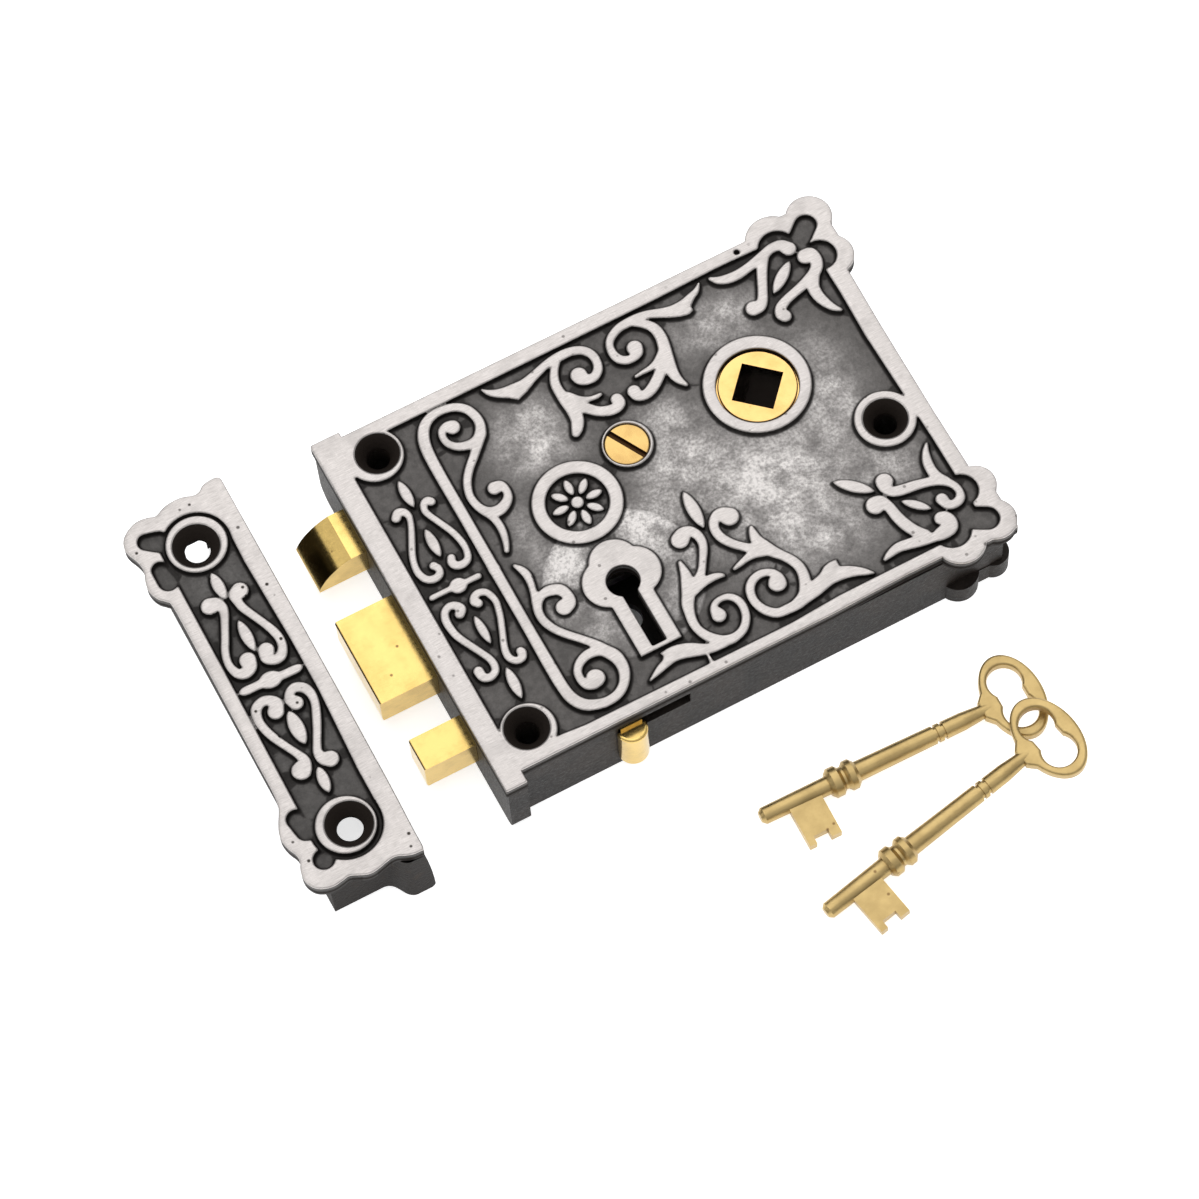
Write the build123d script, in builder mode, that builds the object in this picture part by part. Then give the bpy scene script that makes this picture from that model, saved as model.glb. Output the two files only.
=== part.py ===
"""Ornate cast-iron rim lock: case and cap, latch, lever dead bolt, snib, box keep and two keys.

Frame, in millimetres: the lock lies on its door face. +Z points out of the door, +X away from the
bolts, +Y up the door. The origin is the centre of the case on the door face.
"""
import math
import os

from build123d import *

os.makedirs("parts", exist_ok=True)

# ---------------------------------------------------------------- driving dimensions
DEPTH = 24.0             # door face to the rim of the cap
CAP_THICKNESS = 3.8
RELIEF = 1.5             # rim of the cap down to its field
WALL = 3.4
BACK = 2.6               # back plate of the case
FLANGE = 6.5             # height of the lobes cast on the back corners
CASE_X = (-66.5, 66.4)
CASE_Y = (-48.4, 48.3)
CAP_X = (-67.0, 67.2)
CAP_Y = (-48.5, 48.6)
FORE_END_X = -61.5       # inner edge of the plain strip beside the bolts
FORE_END_HEAD_X = -59.3  # the strip is a little wider at its top end
FORE_END_Y = (-51.7, 49.8)

FIXING_HOLES = ((-53.8, 40.3), (-55.5, -39.8))
REAR_HOLE = (56.0, -10.0)
SCREW_HOLES = FIXING_HOLES + (REAR_HOLE,)
SCREW_HOLE_R = 2.9
COUNTERSINK_R = 5.5
COUNTERSINK_ANGLE = 82
BOSS_R = 4.75            # screw bosses inside the case, also the eye of a lever

CORNER_LOBES = ((56.0, 45.3, 6.8), (66.8, 46.9, 5.7), (66.6, 35.0, 5.4),
                (66.0, -35.5, 5.0), (65.5, -45.5, 5.2), (55.7, -46.2, 6.2))
LOBE_FILLERS = ((62.8, 42.0, 15.6, 16.6), (62.2, -41.0, 14.2, 17.6))   # centre x, y, width, height
LOBE_SETBACK = 1.2       # the back lobes are this much smaller than the front ones

SPINDLE = (33.8, 12.5)
SPINDLE_SQUARE = 10.2
SPINDLE_TURN = 47.5      # degrees, the square hole stands on its corner
HUB_R = 9.9
HUB_FACE_R = 9.6
HUB_CORE_R = 10.8
HUB_FOOT_R = 8.0
HUB_ARM = 21.0           # spindle axis to the tip of the arm

CAP_SCREW = (-0.8, 13.8)
CAP_SCREW_R = 2.0
CAP_SCREW_CLEAR_R = 2.1
CAP_SCREW_HEAD_R = 5.4
CAP_SCREW_RECESS = (5.55, 2.1)       # radius, depth
CAP_SCREW_SLOT = (12.0, 1.5, 1.0)    # length, width, depth
CAP_SCREW_SLOT_TURN = -62
CAP_SCREW_END_Z = 8.0
CAP_POST_R = 3.6

MEDALLION = (-18.2, 5.9)
KEYHOLE = (-18.4, -17.4)
KEYHOLE_R = 4.0
KEYHOLE_SLOT_W = 3.8
KEYHOLE_SLOT_END = -35.5

# Raised ground of the cap, level with its rim.
CAP_FIELD_X = (FORE_END_X, 62.5)
CAP_FIELD_Y = (-45.5, 44.9)
HOLE_RING_R = 6.4
REAR_RING_R = 7.7
SPINDLE_RING_R = 12.9
MEDALLION_R = (10.8, 7.6)
ESCUTCHEON_TOP = ((0.0, 5.6, 5.8), (-4.4, 1.0, 5.3), (4.4, 1.0, 5.3))    # from the keyhole: x, y, radius
ESCUTCHEON_FOOT_Y = -27.5
ESCUTCHEON_FOOT = (10.6, 18.2)       # width, height

BOLT_Z = (6.0, 15.5)     # bottom and top of all three bolt heads
GAP = 0.15               # running clearance of the bolt heads in the fore-end
HEAD_BACK_X = -58.0
TAIL_ROOT_X = -64.0      # the tails are let into the backs of the heads this far
LATCH_Y = (22.4, 35.1)
LATCH_TIP_X = -79.8
DEADBOLT_Y = (-14.6, 9.4)
DEADBOLT_TIP_X = -81.5
SNIB_Y = (-34.5, -25.9)
SNIB_TIP_X = -79.9
LATCH_TRAVEL = 12.0
DEADBOLT_TRAVEL = 14.5
SNIB_TRAVEL = 12.3

LATCH_TAIL_Y = (29.0, 34.0)
LATCH_TAIL_Z = (8.0, 11.0)
DEADBOLT_TAIL_Y = (-9.5, 7.5)
DEADBOLT_TAIL_Z = (6.0, 9.0)
RIVET_R = 1.4

LEVER_PIVOT = (24.0, -6.0)
WASHER_R = 3.6
SPRING_STOP = (-34.0, 17.0)
GUIDE_PIN_R = (1.1, 1.5)     # pins of the latch and of the dead bolt
LEVER_PIN_R = 2.0
LEVER_THICKNESS = 1.8
LEVER_Z = (9.6, 12.0)    # underside of each lever
STUMP = (-6.0, 1.0)
STUMP_SIDE = 4.0

SLOT_X = (-36.4, -17.4)  # slot for the snib's knob in the lower wall
SLOT_Z = (14.6, 19.0)

KEEP_X = (-114.0, -89.6)
KEEP_MID_Y = -1.0
KEEP_HALF_Y = 52.4
KEEP_STRIP_HALF_Y = 54.4
KEEP_STRIP_X = -94.4
KEEP_HOLE_X = -102.2
KEEP_HOLE_OUT = 40.3     # hole centres above and below the middle of the keep
KEEP_HOLE_R = 3.1
KEEP_COUNTERSINK_R = 5.9
KEEP_RECESS_X = -110.8
KEEP_RECESS_HALF_Y = 49.4
KEEP_RING_R = 7.4
KEEP_LOBES = ((-112.3, 46.9, 5.4), (-112.6, 35.8, 4.7))
KEEP_BOX_X = -112.3
KEEP_BOX_HALF_Y = 48.8
KEEP_POCKET_X = (-109.6, -94.2)
KEEP_POCKET_HALF_Y = 46.0
KEEP_WINDOW_GAP = 1.0
KEEP_NOTCH_X = (-104.0, -97.0)       # opening in the foot of the upper end wall
KEEP_NOTCH_HEIGHT = 14.0

KEY_LENGTH = 59.3        # tip to the root of the bow
KEY_SHANK_R = 2.4
KEY_COLLAR_R = 3.75
KEY_BIT = (6.8, 15.1)    # along the shank from the tip
KEY_BIT_REACH = 12.2
KEY_BIT_THICKNESS = 2.4
BOW_HALF = (7.2, 11.2)
BOW_THICKNESS = 3.0
BOW_EDGE_R = 0.7

WALL_TOP = DEPTH - CAP_THICKNESS
FIELD_Z = DEPTH - RELIEF


def rect(x_range, y_range):
    """A rectangle between two X values and two Y values, added to the open sketch."""
    with Locations(((x_range[0] + x_range[1]) / 2, (y_range[0] + y_range[1]) / 2)):
        Rectangle(x_range[1] - x_range[0], y_range[1] - y_range[0])


def corner_lobes(setback=0.0):
    """The six lobes of the two right corners with the blocks between them."""
    for x, y, radius in CORNER_LOBES:
        with Locations((x, y)):
            Circle(radius - setback)
    for x, y, width, height in LOBE_FILLERS:
        with Locations((x - setback, y - math.copysign(setback, y))):
            Rectangle(width, height)


def keyhole():
    """Round hole with a slot below it for the key's bit."""
    with Locations(KEYHOLE):
        Circle(KEYHOLE_R)
    rect((KEYHOLE[0] - KEYHOLE_SLOT_W / 2, KEYHOLE[0] + KEYHOLE_SLOT_W / 2), (KEYHOLE_SLOT_END, KEYHOLE[1]))


def finish(builder, name):
    """Label a finished piece and write its STEP file."""
    builder.part.label = name
    export_step(builder.part, f"parts/{name}.step")


# ---------------------------------------------------------------- case: back, walls, screw bosses
with BuildPart() as case:
    with BuildSketch(Plane.XY):
        rect(CASE_X, CASE_Y)
        rect((CASE_X[0], FORE_END_X), (FORE_END_Y[0] + 0.5, FORE_END_Y[1] - 0.5))
    extrude(amount=WALL_TOP)
    upper_foot = case.edges().filter_by(Axis.X).group_by(Axis.Z)[0].sort_by(Axis.Y)[-1]
    fillet(upper_foot, radius=5.0)
    lower_foot = case.edges().filter_by(Axis.X).group_by(Axis.Z)[0].sort_by(Axis.Y)[0]
    fillet(lower_foot, radius=2.5)
    with BuildSketch(Plane.XY):
        corner_lobes(LOBE_SETBACK)
    extrude(amount=FLANGE)
    with BuildSketch(Plane.XY.offset(BACK)):
        rect((CASE_X[0] + WALL, CASE_X[1] - WALL), (CASE_Y[0] + WALL, CASE_Y[1] - WALL))
        with Locations(*SCREW_HOLES):
            Circle(BOSS_R, mode=Mode.SUBTRACT)
    extrude(amount=WALL_TOP - BACK, mode=Mode.SUBTRACT)
    for y_range in (LATCH_Y, DEADBOLT_Y, SNIB_Y):
        with BuildSketch(Plane.XY.offset(BOLT_Z[0] - GAP)):
            rect((CASE_X[0] - 1, CASE_X[0] + WALL + 1), (y_range[0] - GAP, y_range[1] + GAP))
        extrude(amount=BOLT_Z[1] - BOLT_Z[0] + 2 * GAP, mode=Mode.SUBTRACT)
    with BuildSketch(Plane.XY.offset(SLOT_Z[0])):
        rect(SLOT_X, (CASE_Y[0] - 1, CASE_Y[0] + WALL + 1))
    extrude(amount=SLOT_Z[1] - SLOT_Z[0], mode=Mode.SUBTRACT)
    with BuildSketch(Plane.XY):
        keyhole()
        with Locations(SPINDLE):
            Circle(HUB_FOOT_R + 0.08)
        with Locations(*SCREW_HOLES):
            Circle(SCREW_HOLE_R)
    extrude(amount=WALL_TOP, mode=Mode.SUBTRACT)
finish(case, "case")

# ---------------------------------------------------------------- cap: ornamented front plate
with BuildPart() as cap:
    with BuildSketch(Plane.XY.offset(WALL_TOP)):
        rect(CAP_X, CAP_Y)
        rect((CAP_X[0], FORE_END_X), (FORE_END_Y[0], 0))
        rect((CAP_X[0], FORE_END_HEAD_X), (0, FORE_END_Y[1]))
        corner_lobes()
    extrude(amount=CAP_THICKNESS)
    with BuildSketch(Plane.XY.offset(FIELD_Z)):
        rect(CAP_FIELD_X, CAP_FIELD_Y)
        with Locations(*FIXING_HOLES, CAP_SCREW):
            Circle(HOLE_RING_R, mode=Mode.SUBTRACT)
        with Locations(REAR_HOLE):
            Circle(REAR_RING_R, mode=Mode.SUBTRACT)
        with Locations(SPINDLE):
            Circle(SPINDLE_RING_R, mode=Mode.SUBTRACT)
        with Locations(MEDALLION):
            Circle(MEDALLION_R[0], mode=Mode.SUBTRACT)
            Circle(MEDALLION_R[1], mode=Mode.ADD)
        for x, y, radius in ESCUTCHEON_TOP:
            with Locations((KEYHOLE[0] + x, KEYHOLE[1] + y)):
                Circle(radius, mode=Mode.SUBTRACT)
        with Locations((KEYHOLE[0], ESCUTCHEON_FOOT_Y)):
            Rectangle(*ESCUTCHEON_FOOT, mode=Mode.SUBTRACT)
    extrude(amount=RELIEF, mode=Mode.SUBTRACT)
    with BuildSketch(Plane.XY.offset(WALL_TOP)):
        keyhole()
        with Locations(SPINDLE):
            Circle(HUB_R + 0.08)
        with Locations(CAP_SCREW):
            Circle(CAP_SCREW_CLEAR_R)
    extrude(amount=CAP_THICKNESS, mode=Mode.SUBTRACT)
    with Locations(*[Location((x, y, DEPTH)) for x, y in SCREW_HOLES]):
        CounterSinkHole(radius=SCREW_HOLE_R, counter_sink_radius=COUNTERSINK_R,
                        counter_sink_angle=COUNTERSINK_ANGLE)
    with Locations(Location((*CAP_SCREW, DEPTH))):
        CounterBoreHole(radius=CAP_SCREW_CLEAR_R, counter_bore_radius=CAP_SCREW_RECESS[0],
                        counter_bore_depth=CAP_SCREW_RECESS[1])
finish(cap, "cap")

# ---------------------------------------------------------------- cap post and cap screw
with BuildPart() as cap_post:
    with BuildSketch(Plane.XY.offset(BACK)):
        with Locations(CAP_SCREW):
            Circle(CAP_POST_R)
            Circle(CAP_SCREW_R, mode=Mode.SUBTRACT)
    extrude(amount=WALL_TOP - BACK)
finish(cap_post, "cap_post")

SCREW_HEAD_Z = (DEPTH - CAP_SCREW_RECESS[1], DEPTH - 0.3)
with BuildPart() as cap_screw:
    with BuildSketch(Plane.XY.offset(SCREW_HEAD_Z[0])):
        with Locations(CAP_SCREW):
            Circle(CAP_SCREW_HEAD_R)
    extrude(amount=SCREW_HEAD_Z[1] - SCREW_HEAD_Z[0])
    fillet(cap_screw.edges().group_by(Axis.Z)[-1], radius=0.4)
    with BuildSketch(Plane.XY.offset(CAP_SCREW_END_Z)):
        with Locations(CAP_SCREW):
            Circle(CAP_SCREW_R)
    extrude(amount=SCREW_HEAD_Z[0] - CAP_SCREW_END_Z)
    with BuildSketch(Plane.XY.offset(SCREW_HEAD_Z[1] - CAP_SCREW_SLOT[2])):
        with Locations(Location((*CAP_SCREW, 0), (0, 0, CAP_SCREW_SLOT_TURN))):
            Rectangle(CAP_SCREW_SLOT[0], CAP_SCREW_SLOT[1])
    extrude(amount=CAP_SCREW_SLOT[2], mode=Mode.SUBTRACT)
finish(cap_screw, "cap_screw")

# ---------------------------------------------------------------- follower: hub, arm, square hole
ARM_Z = (4.4, 7.6)
with BuildPart() as follower:
    with BuildSketch(Plane.XY.offset(0.2)):
        with Locations(SPINDLE):
            Circle(HUB_FOOT_R)
    extrude(amount=BACK + 0.1)
    with BuildSketch(Plane.XY.offset(BACK + 0.2)):
        with Locations(SPINDLE):
            Circle(HUB_CORE_R)
    extrude(amount=WALL_TOP - 0.2 - (BACK + 0.2))
    with BuildSketch(Plane.XY.offset(WALL_TOP - 0.2)):
        with Locations(SPINDLE):
            Circle(HUB_R)
    extrude(amount=FIELD_Z - WALL_TOP + 0.1)
    with BuildSketch(Plane.XY.offset(FIELD_Z - 0.1)):
        with Locations(SPINDLE):
            Circle(HUB_FACE_R)
    extrude(amount=0.9)
    fillet(follower.edges().group_by(Axis.Z)[-1], radius=0.4)
    with BuildSketch(Plane.XY.offset(ARM_Z[0])):
        with BuildLine():
            Polyline((SPINDLE[0] - 5.0, SPINDLE[1]), (SPINDLE[0] - 2.6, SPINDLE[1] + HUB_ARM - 2.0),
                     (SPINDLE[0] - 1.0, SPINDLE[1] + HUB_ARM), (SPINDLE[0], SPINDLE[1] + HUB_ARM),
                     (SPINDLE[0] + 3.4, SPINDLE[1]), close=True)
        make_face()
    extrude(amount=ARM_Z[1] - ARM_Z[0])
    with BuildSketch(Plane.XY):
        with Locations(Location((*SPINDLE, 0), (0, 0, SPINDLE_TURN))):
            Rectangle(SPINDLE_SQUARE, SPINDLE_SQUARE)
    extrude(amount=DEPTH, mode=Mode.SUBTRACT)
finish(follower, "follower")

# ---------------------------------------------------------------- latch: bevelled head, tail, rivets
with BuildPart() as latch_head:
    with BuildSketch(Plane.XZ.offset(-LATCH_Y[1])):
        with BuildLine():
            Polyline((LATCH_TIP_X, BOLT_Z[0] + 0.8), (LATCH_TIP_X, BOLT_Z[0]), (HEAD_BACK_X, BOLT_Z[0]),
                     (HEAD_BACK_X, BOLT_Z[1]), (-70.5, BOLT_Z[1]))
            ThreePointArc((-70.5, BOLT_Z[1]), (-76.0, 12.4), (LATCH_TIP_X, BOLT_Z[0] + 0.8))
        make_face()
    extrude(amount=LATCH_Y[1] - LATCH_Y[0])
    with BuildSketch(Plane.XY.offset(BOLT_Z[0])):
        rect((TAIL_ROOT_X, HEAD_BACK_X), LATCH_Y)
    extrude(amount=LATCH_TAIL_Z[1] - BOLT_Z[0], mode=Mode.SUBTRACT)
finish(latch_head, "latch_head")

LATCH_RIVETS = ((-62.3, 31.5), (-59.6, 31.5))
LATCH_GUIDE = (-40.0, 31.5)
LUG_X = 35.3
TAIL_END_X = 44.0
SPRING_AXIS = (31.5, 9.5)    # y, z
with BuildPart() as latch_tail:
    with BuildSketch(Plane.XY.offset(LATCH_TAIL_Z[0])):
        rect((TAIL_ROOT_X, TAIL_END_X), LATCH_TAIL_Y)
        rect((TAIL_ROOT_X, HEAD_BACK_X), (LATCH_Y[0] + 1, LATCH_TAIL_Y[1]))
        with Locations((LATCH_GUIDE[0] - LATCH_TRAVEL / 2, LATCH_GUIDE[1])):
            SlotCenterToCenter(LATCH_TRAVEL, 2.3, mode=Mode.SUBTRACT)
        with Locations(*LATCH_RIVETS):
            Circle(RIVET_R, mode=Mode.SUBTRACT)
    extrude(amount=LATCH_TAIL_Z[1] - LATCH_TAIL_Z[0])
    with BuildSketch(Plane.XY.offset(ARM_Z[0])):
        rect((LUG_X, LUG_X + 4.0), (26.0, LATCH_TAIL_Y[1]))
    extrude(amount=LATCH_TAIL_Z[0] - ARM_Z[0])
    with BuildSketch(Plane.YZ.offset(TAIL_END_X)):
        with Locations(SPRING_AXIS):
            Circle(1.4)
    extrude(amount=5.0)
finish(latch_tail, "latch_tail")

with BuildPart() as latch_rivets:
    with BuildSketch(Plane.XY.offset(LATCH_TAIL_Z[0])):
        with Locations(*LATCH_RIVETS):
            Circle(RIVET_R)
    extrude(amount=LATCH_TAIL_Z[1] - LATCH_TAIL_Z[0])
    with BuildSketch(Plane.XY.offset(LATCH_TAIL_Z[0] - 0.8)):
        with Locations(*LATCH_RIVETS):
            Circle(1.45)
    extrude(amount=0.8)
finish(latch_rivets, "latch_rivets")

with BuildPart() as latch_guide_pin:
    with BuildSketch(Plane.XY.offset(BACK)):
        with Locations(LATCH_GUIDE):
            Circle(GUIDE_PIN_R[0])
    extrude(amount=WALL_TOP - BACK)
finish(latch_guide_pin, "latch_guide_pin")

SPRING_R = 2.3
SPRING_WIRE_R = 0.4
SPRING_TURNS = 6
SPRING_X = (TAIL_END_X + 0.1, CASE_X[1] - WALL - 0.1)
with BuildPart() as latch_spring:
    spring_height = SPRING_X[1] - SPRING_X[0] - 2 * SPRING_WIRE_R
    with BuildLine():
        coil = Helix(spring_height / SPRING_TURNS, spring_height, SPRING_R,
                     center=(SPRING_X[0] + SPRING_WIRE_R, *SPRING_AXIS), direction=(1, 0, 0))
    with BuildSketch(Plane(origin=coil @ 0, z_dir=coil % 0)):
        Circle(SPRING_WIRE_R)
    sweep(path=coil, is_frenet=True)
finish(latch_spring, "latch_spring")

# ---------------------------------------------------------------- dead bolt: head, tail, stump
with BuildPart() as deadbolt_head:
    with BuildSketch(Plane.XY.offset(BOLT_Z[0])):
        rect((DEADBOLT_TIP_X, HEAD_BACK_X), DEADBOLT_Y)
    extrude(amount=BOLT_Z[1] - BOLT_Z[0])
    with BuildSketch(Plane.XY.offset(BOLT_Z[0])):
        rect((TAIL_ROOT_X, HEAD_BACK_X), DEADBOLT_Y)
    extrude(amount=DEADBOLT_TAIL_Z[1] - BOLT_Z[0], mode=Mode.SUBTRACT)
    fillet(deadbolt_head.faces().sort_by(Axis.X)[0].edges(), radius=0.5)
finish(deadbolt_head, "deadbolt_head")

TALON_X = KEYHOLE[0] - DEADBOLT_TRAVEL / 2
DEADBOLT_RIVETS = ((-60.8, -4.0), (-60.8, 4.0))
BOLT_GUIDE = (-40.0, 1.0)
with BuildPart() as deadbolt_tail:
    with BuildSketch(Plane.XY.offset(DEADBOLT_TAIL_Z[0])):
        rect((TAIL_ROOT_X, 2.0), DEADBOLT_TAIL_Y)
        with Locations((TALON_X, DEADBOLT_TAIL_Y[0])):
            Rectangle(11.0, 11.0, mode=Mode.SUBTRACT)
        with Locations((BOLT_GUIDE[0] - DEADBOLT_TRAVEL / 2, BOLT_GUIDE[1])):
            SlotCenterToCenter(DEADBOLT_TRAVEL, 3.1, mode=Mode.SUBTRACT)
        with Locations(*DEADBOLT_RIVETS):
            Circle(RIVET_R, mode=Mode.SUBTRACT)
        with Locations(STUMP):
            Rectangle(STUMP_SIDE, STUMP_SIDE, mode=Mode.SUBTRACT)
    extrude(amount=DEADBOLT_TAIL_Z[1] - DEADBOLT_TAIL_Z[0])
finish(deadbolt_tail, "deadbolt_tail")

with BuildPart() as deadbolt_rivets:
    with BuildSketch(Plane.XY.offset(DEADBOLT_TAIL_Z[0])):
        with Locations(*DEADBOLT_RIVETS):
            Circle(RIVET_R)
    extrude(amount=DEADBOLT_TAIL_Z[1] - DEADBOLT_TAIL_Z[0])
    with BuildSketch(Plane.XY.offset(DEADBOLT_TAIL_Z[0] - 0.8)):
        with Locations(*DEADBOLT_RIVETS):
            Circle(1.9)
    extrude(amount=0.8)
finish(deadbolt_rivets, "deadbolt_rivets")

with BuildPart() as bolt_stump:
    with BuildSketch(Plane.XY.offset(DEADBOLT_TAIL_Z[0])):
        with Locations(STUMP):
            Rectangle(STUMP_SIDE, STUMP_SIDE)
    extrude(amount=9.0)
finish(bolt_stump, "bolt_stump")

with BuildPart() as bolt_guide_pin:
    with BuildSketch(Plane.XY.offset(BACK)):
        with Locations(BOLT_GUIDE):
            Circle(GUIDE_PIN_R[1])
    extrude(amount=WALL_TOP - BACK)
finish(bolt_guide_pin, "bolt_guide_pin")


# ---------------------------------------------------------------- levers, their pivot and springs
LEVER_TOP_Y = 8.4
LEVER_END_X = -31.0
GATE_HALF = 2.4          # half width of a gate pocket, the stump's half side and its clearance
GATE_LEAN = 0.8          # extra room on the pivot side, for the turn of a dropped lever
GATE_TOPS = (6.6, 5.4)   # top of the outer and of the inner pocket


def lever(z):
    """A lever, lifted: pivot boss, body with a gate of two pockets, belly over the keyhole."""
    gate_x = (STUMP[0], STUMP[0] + DEADBOLT_TRAVEL)
    with BuildPart() as piece:
        with BuildSketch(Plane.XY.offset(z)):
            with BuildLine():
                Polyline((LEVER_PIVOT[0], LEVER_PIVOT[1] + BOSS_R), (13.5, LEVER_TOP_Y),
                         (LEVER_END_X, LEVER_TOP_Y), (LEVER_END_X, -2.8))
                ThreePointArc((LEVER_END_X, -2.8), (KEYHOLE[0], -5.1), (-6.5, -3.9))
                Polyline((-6.5, -3.9), (12.0, -8.0), (LEVER_PIVOT[0], LEVER_PIVOT[1] - BOSS_R),
                         (LEVER_PIVOT[0], LEVER_PIVOT[1] + BOSS_R))
            make_face()
            with Locations(LEVER_PIVOT):
                Circle(BOSS_R)
                Circle(LEVER_PIN_R + 0.06, mode=Mode.SUBTRACT)
            with Locations(((gate_x[0] + gate_x[1] + GATE_LEAN) / 2, STUMP[1])):
                Rectangle(DEADBOLT_TRAVEL + 2 * GATE_HALF + GATE_LEAN, 2 * GATE_HALF, mode=Mode.SUBTRACT)
            for x, top in zip(gate_x, GATE_TOPS):
                with Locations((x + GATE_LEAN / 2, (STUMP[1] + top) / 2)):
                    Rectangle(2 * GATE_HALF + GATE_LEAN, top - STUMP[1], mode=Mode.SUBTRACT)
        extrude(amount=LEVER_THICKNESS)
    return piece


def lever_spring(z):
    """A leaf spring: a foot lying on the lever's top edge and a blade that rises to the stop pin."""
    with BuildPart() as piece:
        with BuildSketch(Plane.XY.offset(z + 0.1)):
            with BuildLine():
                foot = Line((-7.0, LEVER_TOP_Y + 0.25), (-12.0, LEVER_TOP_Y + 0.25))
                TangentArc(foot @ 1, (-35.5, 15.0), tangent=foot % 1)
            trace(line_width=0.5)
        extrude(amount=LEVER_THICKNESS - 0.2)
    return piece


for index, lever_z in enumerate(LEVER_Z, start=1):
    finish(lever(lever_z), f"lever_{index}")
    finish(lever_spring(lever_z), f"lever_spring_{index}")

with BuildPart() as lever_pivot:
    with BuildSketch(Plane.XY.offset(BACK)):
        with Locations(LEVER_PIVOT):
            Circle(LEVER_PIN_R)
    extrude(amount=WALL_TOP - BACK)
finish(lever_pivot, "lever_pivot")

WASHER_SPANS = ((BACK, LEVER_Z[0] - 0.05), (LEVER_Z[0] + LEVER_THICKNESS + 0.05, LEVER_Z[1] - 0.05),
                (LEVER_Z[1] + LEVER_THICKNESS + 0.05, WALL_TOP))
with BuildPart() as lever_washers:
    for low, high in WASHER_SPANS:
        with BuildSketch(Plane.XY.offset(low)):
            with Locations(LEVER_PIVOT):
                Circle(WASHER_R)
                Circle(LEVER_PIN_R + 0.03, mode=Mode.SUBTRACT)
        extrude(amount=high - low)
finish(lever_washers, "lever_washers")

with BuildPart() as spring_stop:
    with BuildSketch(Plane.XY.offset(BACK)):
        with Locations(SPRING_STOP):
            Circle(1.5)
    extrude(amount=WALL_TOP - BACK)
finish(spring_stop, "spring_stop")

# ---------------------------------------------------------------- snib: bolt, knob, leaf spring
KNOB_X = (-36.9, -29.3)
KNOB_Y = (-52.6, -48.7)
KNOB_Z = (4.0, 17.6)
STEM_X = (-35.9, -30.3)
STEM_Z = (SLOT_Z[0] + 0.2, SLOT_Z[1] - 0.2)
with BuildPart() as snib_bolt:
    with BuildSketch(Plane.XY.offset(BOLT_Z[0])):
        rect((SNIB_TIP_X, HEAD_BACK_X), SNIB_Y)
        rect((HEAD_BACK_X, STEM_X[1]), (SNIB_Y[0], SNIB_Y[0] + 4.0))
    extrude(amount=BOLT_Z[1] - BOLT_Z[0])
    fillet(snib_bolt.faces().sort_by(Axis.X)[0].edges(), radius=0.5)
    with BuildSketch(Plane.XY.offset(STEM_Z[0])):
        rect(STEM_X, (KNOB_Y[1], SNIB_Y[0] + 4.0))
    extrude(amount=STEM_Z[1] - STEM_Z[0])
finish(snib_bolt, "snib_bolt")

with BuildPart() as snib_knob:
    with BuildSketch(Plane.XY.offset(KNOB_Z[0])):
        with BuildLine():
            Polyline((KNOB_X[0], KNOB_Y[1] - 0.6), (KNOB_X[0], KNOB_Y[1]), (KNOB_X[1], KNOB_Y[1]),
                     (KNOB_X[1], KNOB_Y[1] - 0.6))
            ThreePointArc((KNOB_X[1], KNOB_Y[1] - 0.6), ((KNOB_X[0] + KNOB_X[1]) / 2, KNOB_Y[0]),
                          (KNOB_X[0], KNOB_Y[1] - 0.6))
        make_face()
    extrude(amount=KNOB_Z[1] - KNOB_Z[0])
    fillet(snib_knob.edges().filter_by(GeomType.CIRCLE), radius=0.8)
finish(snib_knob, "snib_knob")

with BuildPart() as snib_spring:
    with BuildSketch(Plane.XZ.offset(34.0)):
        with BuildLine():
            ThreePointArc((-56.0, BACK + 0.25), (-46.0, BOLT_Z[0] - 0.35), (-36.0, BACK + 0.25))
        trace(line_width=0.4)
    extrude(amount=-3.0)
finish(snib_spring, "snib_spring")

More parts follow.
